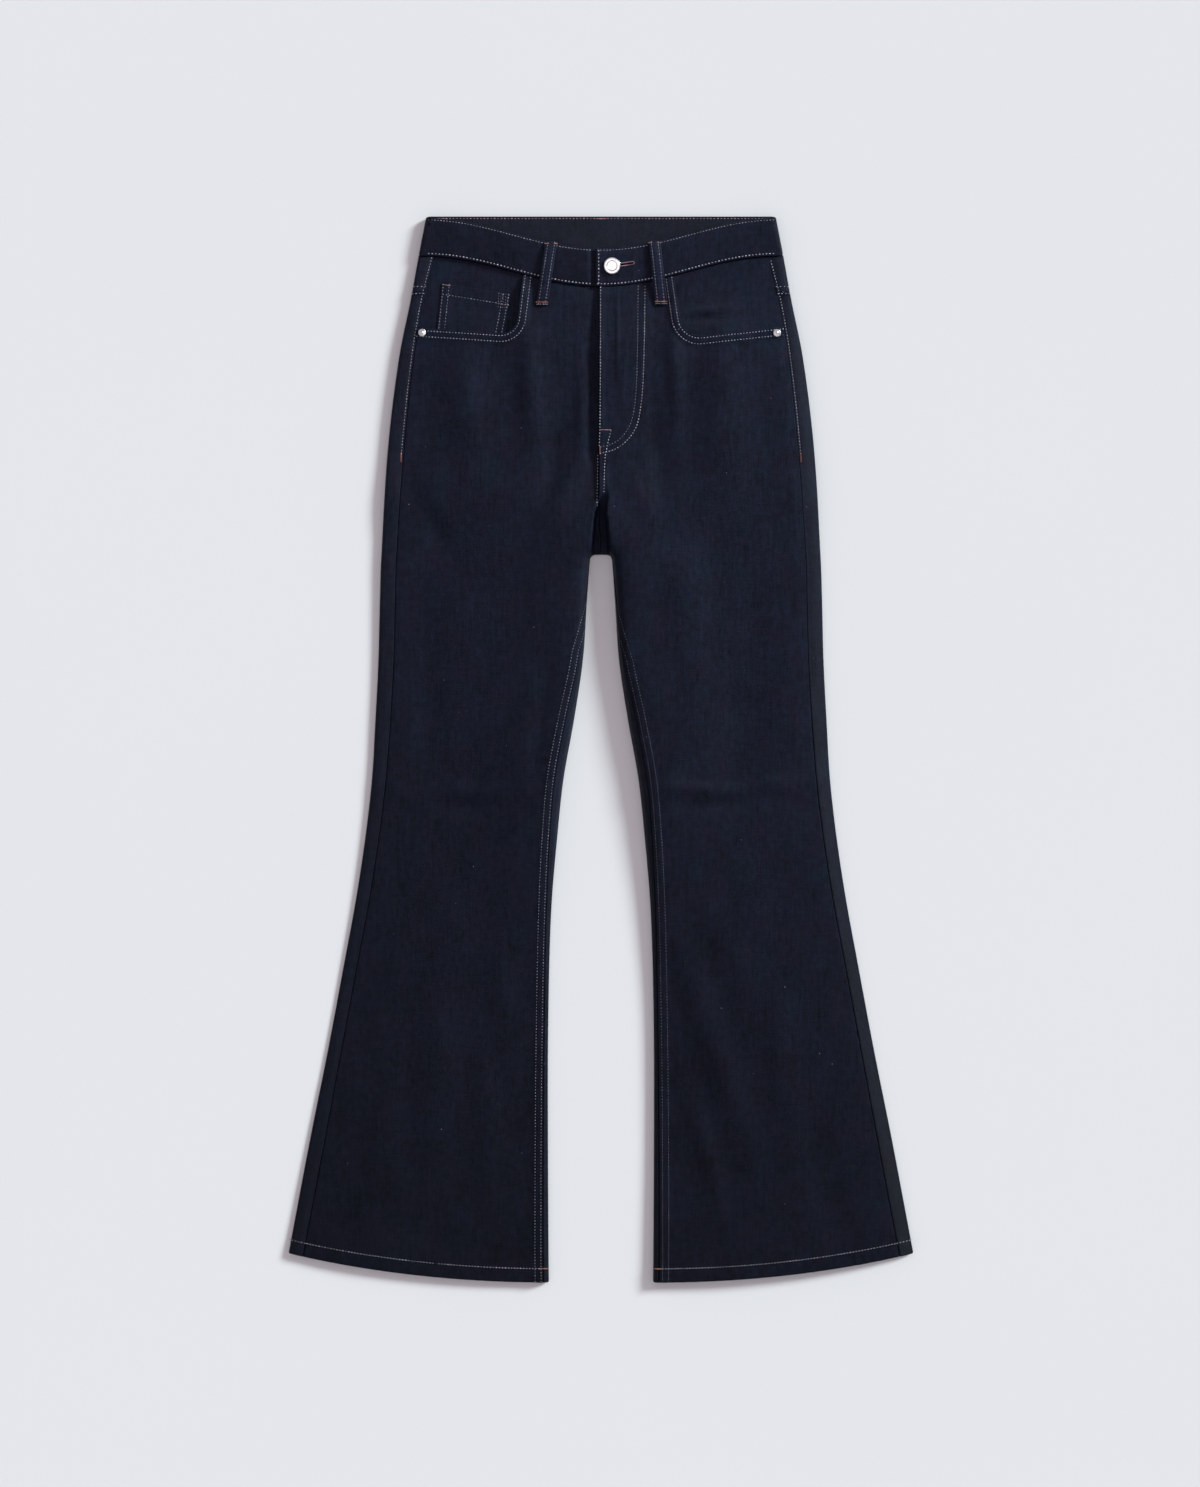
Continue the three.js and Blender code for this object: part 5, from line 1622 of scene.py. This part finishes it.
def raw_denim(name, colour, foot_tone=0.56, waist_tone=1.08, right_tone=0.95, left_tone=1.10):
    """Unwashed 3/1 right-hand twill: cotton warp dyed nearly black indigo over a pale weft.

    The rope-dyed warp hides most of the weft, so the eye gets a deep, dull blue-black with fine
    slubs both ways, cloudy dye that deepens towards the hem and lightens to the wearer's left, a
    faint diagonal rib and pale neps."""
    material, add = start_material(name)
    cloth = add("ShaderNodeUVMap", uv_map="cloth")
    tone = 1 - sum(share for *_, share in DENIM_TONES) / 2
    parts = []
    for across, along, detail, share in DENIM_TONES:
        place = add("ShaderNodeVectorMath", {0: cloth, 1: per_mm(across, along)}, operation="MULTIPLY")
        parts.append(add("ShaderNodeTexNoise",
                         {"Vector": place, "Scale": 1.0, "Detail": detail, "Roughness": 0.6}))
        tone = add("ShaderNodeMath", {0: parts[-1], 1: share, 2: tone}, operation="MULTIPLY_ADD")
    slubs, hairs = parts[0], parts[3]

    # the diagonal rib, which wanders with the yarn
    phase = add("ShaderNodeVectorMath", {0: cloth, 1: WALE_PHASE}, operation="DOT_PRODUCT").outputs["Value"]
    wander = add("ShaderNodeMath", {0: hairs, 1: 3.0, 2: phase}, operation="MULTIPLY_ADD")
    rib = add("ShaderNodeMath", {0: wander}, operation="SINE")
    tone = add("ShaderNodeMath", {0: rib, 1: 0.12, 2: tone}, operation="MULTIPLY_ADD")

    place = add("ShaderNodeSeparateXYZ", {0: cloth})
    for axis, start, stop, low, high in (("Y", -0.5, 0.45, foot_tone, waist_tone),
                                         ("X", -0.25, 0.25, right_tone, left_tone)):
        drift = add("ShaderNodeMapRange", {"Value": place.outputs[axis], "To Min": low, "To Max": high,
                                           "From Min": start, "From Max": stop})
        tone = add("ShaderNodeMath", {0: tone, 1: drift}, operation="MULTIPLY")
    dyed = add("ShaderNodeVectorMath", {0: colour[:3], 3: tone}, operation="SCALE")

    # the dye wanders between a redder and a greener blue in patches about 30 mm wide
    patch = add("ShaderNodeVectorMath", {0: cloth, 1: per_mm(26, 34)}, operation="MULTIPLY")
    cast = add("ShaderNodeTexNoise", {"Vector": patch, "Scale": 1.0, "Detail": 2.0})
    tint = add("ShaderNodeVectorMath", {0: cast, 1: (-0.9, 0.4, 0.1), 2: (1.45, 0.8, 0.95)},
               operation="MULTIPLY_ADD")
    base = add("ShaderNodeVectorMath", {0: dyed, 1: tint}, operation="MULTIPLY")

    # neps: pale fibres caught in the yarn, at most one to a square and most squares bare
    cell = add("ShaderNodeVectorMath", {0: cloth, 1: per_mm(NEP_CELL, NEP_CELL)}, operation="MULTIPLY")
    spots = add("ShaderNodeTexVoronoi", {"Vector": cell, "Scale": 1.0}, feature="F1")
    near = add("ShaderNodeMath", {0: spots, 1: NEP_RADIUS}, operation="LESS_THAN")
    chosen = add("ShaderNodeSeparateColor", {"Color": spots.outputs["Color"]}).outputs
    rare = add("ShaderNodeMath", {0: chosen[0], 1: NEP_BARE}, operation="GREATER_THAN")
    shown = add("ShaderNodeMath", {0: near, 1: rare}, operation="MULTIPLY")
    nep = add("ShaderNodeMath", {0: shown, 1: chosen[1]}, operation="MULTIPLY")
    weft = (*bpy.context.scene.jeans_colours.weft, 1.0)
    coat = add("ShaderNodeMix", {0: nep, 6: base, 7: weft}, data_type="RGBA", clamp_factor=True)

    relief = add("ShaderNodeMath", {0: slubs, 1: 1.2, 2: rib}, operation="MULTIPLY_ADD")
    hairy = add("ShaderNodeMath", {0: hairs, 1: 1.5, 2: relief}, operation="MULTIPLY_ADD")
    bump = add("ShaderNodeBump", {"Height": hairy, "Distance": 0.00015, "Strength": 0.6})
    gloss = add("ShaderNodeMapRange", {"Value": slubs, "From Min": 0.25, "From Max": 0.75,
                                       "To Min": 0.46, "To Max": 0.58})
    shader = add("ShaderNodeBsdfPrincipled", {"Base Color": coat.outputs[2], "Roughness": gloss,
                                              "Specular IOR Level": 0.09, "Normal": bump})
    add("ShaderNodeOutputMaterial", {"Surface": shader})
    return material


def spun_thread(name, colour):
    """Polyester core-spun sewing thread: a tight twist with a soft shine and uneven dye."""
    material, add = start_material(name)
    place = add("ShaderNodeTexCoord").outputs["Object"]
    patchy = add("ShaderNodeTexNoise", {"Vector": place, "Scale": 1 / (4.0 * MM), "Detail": 2.0})
    tint = add("ShaderNodeMapRange", {"Value": patchy, "From Min": 0.32, "From Max": 0.68,
                                      "To Min": 0.45, "To Max": 1.5})
    base = add("ShaderNodeVectorMath", {0: colour[:3], 3: tint}, operation="SCALE")
    twist = add("ShaderNodeTexNoise", {"Vector": place, "Scale": 1 / (0.22 * MM), "Detail": 1.0})
    bump = add("ShaderNodeBump", {"Height": twist, "Distance": 0.00008, "Strength": 0.6})
    shader = add("ShaderNodeBsdfPrincipled", {"Base Color": base, "Roughness": 0.55,
                                              "Specular IOR Level": 0.3, "Normal": bump})
    add("ShaderNodeOutputMaterial", {"Surface": shader})
    return material


def woven_tape(name, colour):
    """Polyester zip tape: a close flat herringbone that shows as fine cross ribs 0.8 mm apart."""
    material, add = start_material(name)
    cloth = add("ShaderNodeUVMap", uv_map="cloth")
    across_ribs = (0, 2 * math.pi / (0.8 * MM), 0)
    phase = add("ShaderNodeVectorMath", {0: cloth, 1: across_ribs}, operation="DOT_PRODUCT")
    rib = add("ShaderNodeMath", {0: phase.outputs["Value"]}, operation="SINE")
    tint = add("ShaderNodeMath", {0: rib, 1: 0.2, 2: 1.0}, operation="MULTIPLY_ADD")
    base = add("ShaderNodeVectorMath", {0: colour[:3], 3: tint}, operation="SCALE")
    shader = add("ShaderNodeBsdfPrincipled", {"Base Color": base, "Roughness": 0.7})
    add("ShaderNodeOutputMaterial", {"Surface": shader})
    return material


def polished_nickel(name, colour):
    """Nickel-plated brass, barrel-polished: bright and mirror-like with a faint satin drag."""
    material, add = start_material(name)
    place = add("ShaderNodeTexCoord").outputs["Object"]
    smears = add("ShaderNodeTexNoise", {"Vector": place, "Scale": 1 / (1.5 * MM), "Detail": 3.0})
    haze = add("ShaderNodeMapRange", {"Value": smears, "From Min": 0.3, "From Max": 0.7,
                                      "To Min": 0.2, "To Max": 0.34})
    fine = add("ShaderNodeTexNoise", {"Vector": place, "Scale": 1 / (0.25 * MM), "Detail": 2.0})
    tint = add("ShaderNodeMapRange", {"Value": fine, "To Min": 0.95, "To Max": 1.03})
    base = add("ShaderNodeVectorMath", {0: colour[:3], 3: tint}, operation="SCALE")
    bump = add("ShaderNodeBump", {"Height": fine, "Distance": 0.00002, "Strength": 0.3})
    shader = add("ShaderNodeBsdfPrincipled", {"Base Color": base, "Metallic": 1.0, "Roughness": haze,
                                              "Normal": bump})
    add("ShaderNodeOutputMaterial", {"Surface": shader})
    return material


# ---- stage

def matt_board(name, colour):
    """Matt painted board: an even, pale, faintly cool grey that keeps soft shadows readable."""
    material, add = start_material(name)
    place = add("ShaderNodeTexCoord").outputs["Object"]
    slow = add("ShaderNodeTexNoise", {"Vector": place, "Scale": 1 / (400 * MM), "Detail": 2.0})
    tint = add("ShaderNodeMapRange", {"Value": slow, "To Min": 0.995, "To Max": 1.005})
    base = add("ShaderNodeVectorMath", {0: colour[:3], 3: tint}, operation="SCALE")
    shader = add("ShaderNodeBsdfPrincipled", {"Base Color": base, "Roughness": 1.0,
                                              "Specular IOR Level": 0.0})
    add("ShaderNodeOutputMaterial", {"Surface": shader})
    return material


VIEW_HEIGHT_MM = 1522  # how much of the surface the view takes in, top to bottom
CAMERA_MM = (-1, 6, 5000)
SENSOR_MM = 36
KEY_ELEVATION, KEY_AZIMUTH, KEY_SPREAD = 24, 30, 15  # degrees
FLOOR_HALF = 8  # metres


def make_stage(colours):
    scene = bpy.context.scene
    camera_data = bpy.data.cameras.new("camera")
    camera_data.sensor_width = SENSOR_MM
    camera_data.lens = SENSOR_MM * CAMERA_MM[2] / VIEW_HEIGHT_MM
    camera = bpy.data.objects.new("camera", camera_data)
    camera.location = Vector(CAMERA_MM) * MM
    scene.collection.objects.link(camera)
    scene.camera = camera

    key_data = bpy.data.lights.new("key_light", "SUN")
    key_data.energy = colours.key_strength
    key_data.angle = math.radians(KEY_SPREAD)
    key_data.color = colours.key
    key = bpy.data.objects.new("key_light", key_data)
    elevation, azimuth = math.radians(KEY_ELEVATION), math.radians(KEY_AZIMUTH)
    towards = Vector((math.cos(elevation) * math.cos(azimuth), math.cos(elevation) * math.sin(azimuth),
                      math.sin(elevation)))
    key.rotation_euler = towards.to_track_quat("Z", "Y").to_euler()
    key.location = towards * 3
    scene.collection.objects.link(key)

    # the room: even all round, with a brighter ceiling panel that the metal mirrors
    world = bpy.data.worlds.new("soft_room")
    world.use_nodes = True
    world.node_tree.nodes.clear()
    add = partial(add_node, world.node_tree)
    up = add("ShaderNodeSeparateXYZ", {0: add("ShaderNodeTexCoord").outputs["Generated"]}).outputs["Z"]
    panel = add("ShaderNodeMapRange",
                {"Value": up, "From Min": 0.97, "From Max": 0.99,
                 "To Min": colours.fill_strength, "To Max": colours.ceiling_strength},
                interpolation_type="SMOOTHSTEP")
    sky = add("ShaderNodeBackground", {"Color": (*colours.fill, 1.0), "Strength": panel})
    add("ShaderNodeOutputWorld", {"Surface": sky})
    scene.world = world

    corners = [(x * FLOOR_HALF, y * FLOOR_HALF, 0) for x, y in ((-1, -1), (1, -1), (1, 1), (-1, 1))]
    mesh = bpy.data.meshes.new("floor")
    mesh.from_pydata(corners, [], [(0, 1, 2, 3)])
    mesh.materials.append(matt_board("matt_board", linear("#eaebed")))
    floor = bpy.data.objects.new("floor", mesh)
    scene.collection.objects.link(floor)
    scene.view_settings.view_transform = "Standard"
    scene.view_settings.look = "None"


# ---- the add-on

def colour_property(name, description, hex_colour):
    return FloatVectorProperty(name=name, description=description, subtype="COLOR", size=3, min=0, max=1,
                               default=linear(hex_colour)[:3])


def strength_property(name, description, default):
    return FloatProperty(name=name, description=description, default=default, min=0)


def share_property(name, description, most):
    return FloatProperty(name=name, description=description, default=1, min=0, max=most, subtype="FACTOR")


def length_property(name, description, default, least):
    """A length that is given here in millimetres and kept in metres."""
    return FloatProperty(name=name, description=description, default=default * MM, min=least * MM,
                         unit="LENGTH")


class JeansColours(bpy.types.PropertyGroup):
    denim: colour_property("Denim", "Dyed warp of the panels", "#141827")
    band: colour_property("Band denim", "Dyed warp of the waistband and loops", "#161a2a")
    weft: colour_property("Weft", "Undyed weft that shows in the neps", "#7a7884")
    thread: colour_property("Thread", "Topstitching thread", "#b4b0be")
    inseam_thread: colour_property("Inseam thread", "Thread of the felled inseams", "#7b7a88")
    rose_thread: colour_property("Rose thread", "Thread of the buttonhole and the fine tacks", "#9a7a84")
    tack_thread: colour_property("Tack thread", "Thread of the bar tacks", "#9a6a5e")
    tape: colour_property("Tape", "Dyed tape of the zip", "#1a1c26")
    metal: colour_property("Metal", "Nickel plate of the button and rivets", "#eceded")
    key: colour_property("Key light", "Colour of the light from the upper right", "#f2ffff")
    fill: colour_property("Fill light", "Colour of the light from all round", "#fff5fc")
    key_strength: strength_property("Key strength", "Irradiance of the key light", 3.85)
    fill_strength: strength_property("Fill strength", "Radiance of the surroundings", 0.425)
    ceiling_strength: strength_property("Ceiling strength", "Radiance of the panel overhead", 2.3)


class JeansCloth(bpy.types.PropertyGroup):
    fold_depth: share_property("Fold depth", "Depth of the soft folds, as a share of the worn-in look", 1.5)
    pucker_depth: share_property("Pucker depth", "Depth of the puckers along the seams and hems", 2)
    loop_arch: length_property("Loop arch", "How far a belt loop stands off between its tacks", 3, 0)


class JeansThread(bpy.types.PropertyGroup):
    pitch: length_property("Pitch", "Distance from stitch to stitch", 3.5, 1)
    length: length_property("Stitch length", "Length of a stitch that shows", 1.8, 1)
    width: length_property("Thread width", "Width of a stitch", 1.1, 0.2)
    height: length_property("Thread height", "How far a stitch stands up", 0.6, 0.1)
    fine_pitch: length_property("Fine pitch", "Distance from stitch to stitch on the panels", 3.1, 1)
    fine_length: length_property("Fine length", "Length of a stitch on the panels", 1.5, 1)
    tack_pitch: length_property("Tack pitch", "Distance between the stitches of a bar tack", 0.65, 0.3)
    tack_width: length_property("Tack width", "Width of a bar tack", 1.3, 1)
    tack_yarn: length_property("Tack yarn", "Width of a bar tack's stitch", 0.7, 0.2)
    seed: IntProperty(name="Seed", description="Seed of the stitches' uneven sizes", default=7)


# Each with its maker and colour, and for narrow pieces the tones at the foot, waist, right and left.
FINISHES = {
    "raw_denim": (raw_denim, "denim"),
    "raw_denim_band": (raw_denim, "band", 1.0, 1.0, 1.5, 0.8),
    "raw_denim_loops": (raw_denim, "band", 1.0, 1.0, 1.35, 1.35),
    "grey_thread": (spun_thread, "thread"),
    "slate_thread": (spun_thread, "inseam_thread"),
    "rose_thread": (spun_thread, "rose_thread"),
    "rust_thread": (spun_thread, "tack_thread"),
    "zip_tape": (woven_tape, "tape"),
    "polished_nickel": (polished_nickel, "metal"),
}


def finish_of(name):
    """A material by name, made the first time that a piece needs it."""
    if name in bpy.data.materials:
        return bpy.data.materials[name]
    maker, colour, *tones = FINISHES[name]
    return maker(name, getattr(bpy.context.scene.jeans_colours, colour), *tones)


def stitch_sizes(kind, share):
    """Sizes of one kind of stitch, its thread being this share of the full one."""
    thread = bpy.context.scene.jeans_thread
    pitch, length, width = {
        "full": (thread.pitch, thread.length, thread.width),
        "fine": (thread.fine_pitch, thread.fine_length, thread.width),
        "tack": (thread.tack_pitch, thread.tack_width, thread.tack_yarn),
    }[kind]
    return {"Pitch": pitch, "Length": length, "Width": width * share, "Height": thread.height * share,
            "Seed": thread.seed}


class JEANS_OT_stage(bpy.types.Operator):
    """Add the floor, the soft light and the camera straight above"""
    bl_idname = "jeans.stage"
    bl_label = "Stage"

    def execute(self, context):
        make_stage(context.scene.jeans_colours)
        return {"FINISHED"}


class JEANS_OT_front_panels(bpy.types.Operator):
    """Lay both front panels with their seams, hems and folds"""
    bl_idname = "jeans.front_panels"
    bl_label = "Front panels"

    def execute(self, context):
        make_front_panels(finish_of("raw_denim"))
        return {"FINISHED"}


class JEANS_OT_pocket_facings(bpy.types.Operator):
    """Lay the facings under the pocket mouths, and the coin pocket"""
    bl_idname = "jeans.pocket_facings"
    bl_label = "Pocket facings"

    def execute(self, context):
        make_pocket_facings(finish_of("raw_denim"))
        return {"FINISHED"}


class JEANS_OT_back(bpy.types.Operator):
    """Wrap the back panels and yokes round the side folds, and lay the back pockets"""
    bl_idname = "jeans.back"
    bl_label = "Back"

    def execute(self, context):
        make_back_panels(finish_of("raw_denim"))
        make_yokes(finish_of("raw_denim"))
        make_back_pockets(finish_of("raw_denim"))
        return {"FINISHED"}


class JEANS_OT_waistband(bpy.types.Operator):
    """Sweep the waistband round the waist and tack the belt loops on"""
    bl_idname = "jeans.waistband"
    bl_label = "Waistband and loops"

    def execute(self, context):
        make_waistband(finish_of("raw_denim_band"))
        make_belt_loops(finish_of("raw_denim_loops"))
        return {"FINISHED"}


class JEANS_OT_fly(bpy.types.Operator):
    """Lay the shield and the zip behind the fly"""
    bl_idname = "jeans.fly"
    bl_label = "Fly"

    def execute(self, context):
        make_fly(finish_of("raw_denim"), finish_of("zip_tape"))
        return {"FINISHED"}


class JEANS_OT_metal(bpy.types.Operator):
    """Turn the button and the rivets"""
    bl_idname = "jeans.metal"
    bl_label = "Button and rivets"

    def execute(self, context):
        make_metal(finish_of("polished_nickel"))
        return {"FINISHED"}


class JEANS_OT_stitches(bpy.types.Operator):
    """Sew every row, the bar tacks and the buttonhole"""
    bl_idname = "jeans.stitches"
    bl_label = "Stitches"

    def execute(self, context):
        for name, side in SIDES:
            inseam_share = 0.80 if side < 0 else 0.36
            sew(f"stitches_front_{name}", front_rows(side), "grey_thread", "fine", 0.72)
            sew(f"stitches_inseam_{name}", inseam_rows(side), "slate_thread", "fine", inseam_share)
            sew(f"stitches_back_{name}", back_rows(side), "grey_thread", "full")
        fly_inner = [row_on(round_curve(FLY_J_INNER), panel_surface(1))]
        sew("stitches_fly", fly_thread_rows(), "grey_thread", "fine", 0.88)
        sew("stitches_fly_inner", fly_inner, "slate_thread", "fine", 0.84)
        sew("stitches_coin_pocket", coin_rows(), "grey_thread", "fine", 0.5)
        sew("stitches_waistband", band_thread_rows(), "grey_thread", "full", slot="band_denim")
        sew("stitches_band_top", band_top_rows(), "grey_thread", "fine", 0.58, "band_denim")
        sew("stitches_inner_band", inner_band_rows(), "rose_thread", "full", slot="band_denim")
        sew("stitches_loops", loop_rows(), "grey_thread", "fine", 0.5, "band_denim")
        sew("stitches_coin_corner", coin_corner_rows(), "rose_thread", "fine", 0.41,
            Pitch=2.3 * MM, Length=1.2 * MM)
        sew("bar_tacks", tack_rows(), "rust_thread", "tack")
        sew("rose_tacks", rose_tack_rows(), "rose_thread", "tack", Length=1.2 * MM)
        sew("buttonhole_stitches", buttonhole_rows(), "rose_thread", "tack", slot="band_denim",
            Pitch=0.7 * MM, Length=1.2 * MM)
        return {"FINISHED"}


GROUPS = {"jeans_cloth": JeansCloth, "jeans_thread": JeansThread, "jeans_colours": JeansColours}
STEPS = (JEANS_OT_stage, JEANS_OT_front_panels, JEANS_OT_pocket_facings, JEANS_OT_back, JEANS_OT_waistband,
         JEANS_OT_fly, JEANS_OT_metal, JEANS_OT_stitches)


class JEANS_PT_panel(bpy.types.Panel):
    bl_label = "Jeans"
    bl_idname = "JEANS_PT_panel"
    bl_space_type = "VIEW_3D"
    bl_region_type = "UI"
    bl_category = "Jeans"

    def draw(self, context):
        for group in (getattr(context.scene, name) for name in GROUPS):
            for name in group.bl_rna.properties.keys():
                if name not in ("rna_type", "name"):
                    self.layout.prop(group, name)
        for step in STEPS:
            self.layout.operator(step.bl_idname)


CLASSES = (*GROUPS.values(), *STEPS, JEANS_PT_panel)


def register():
    for cls in CLASSES:
        bpy.utils.register_class(cls)
    for name, group in GROUPS.items():
        setattr(bpy.types.Scene, name, PointerProperty(type=group))


def unregister():
    for name in GROUPS:
        delattr(bpy.types.Scene, name)
    for cls in reversed(CLASSES):
        bpy.utils.unregister_class(cls)


def main():
    register()
    for step in STEPS:
        group, name = step.bl_idname.split(".")
        getattr(getattr(bpy.ops, group), name)()


if __name__ == "__main__":
    main()
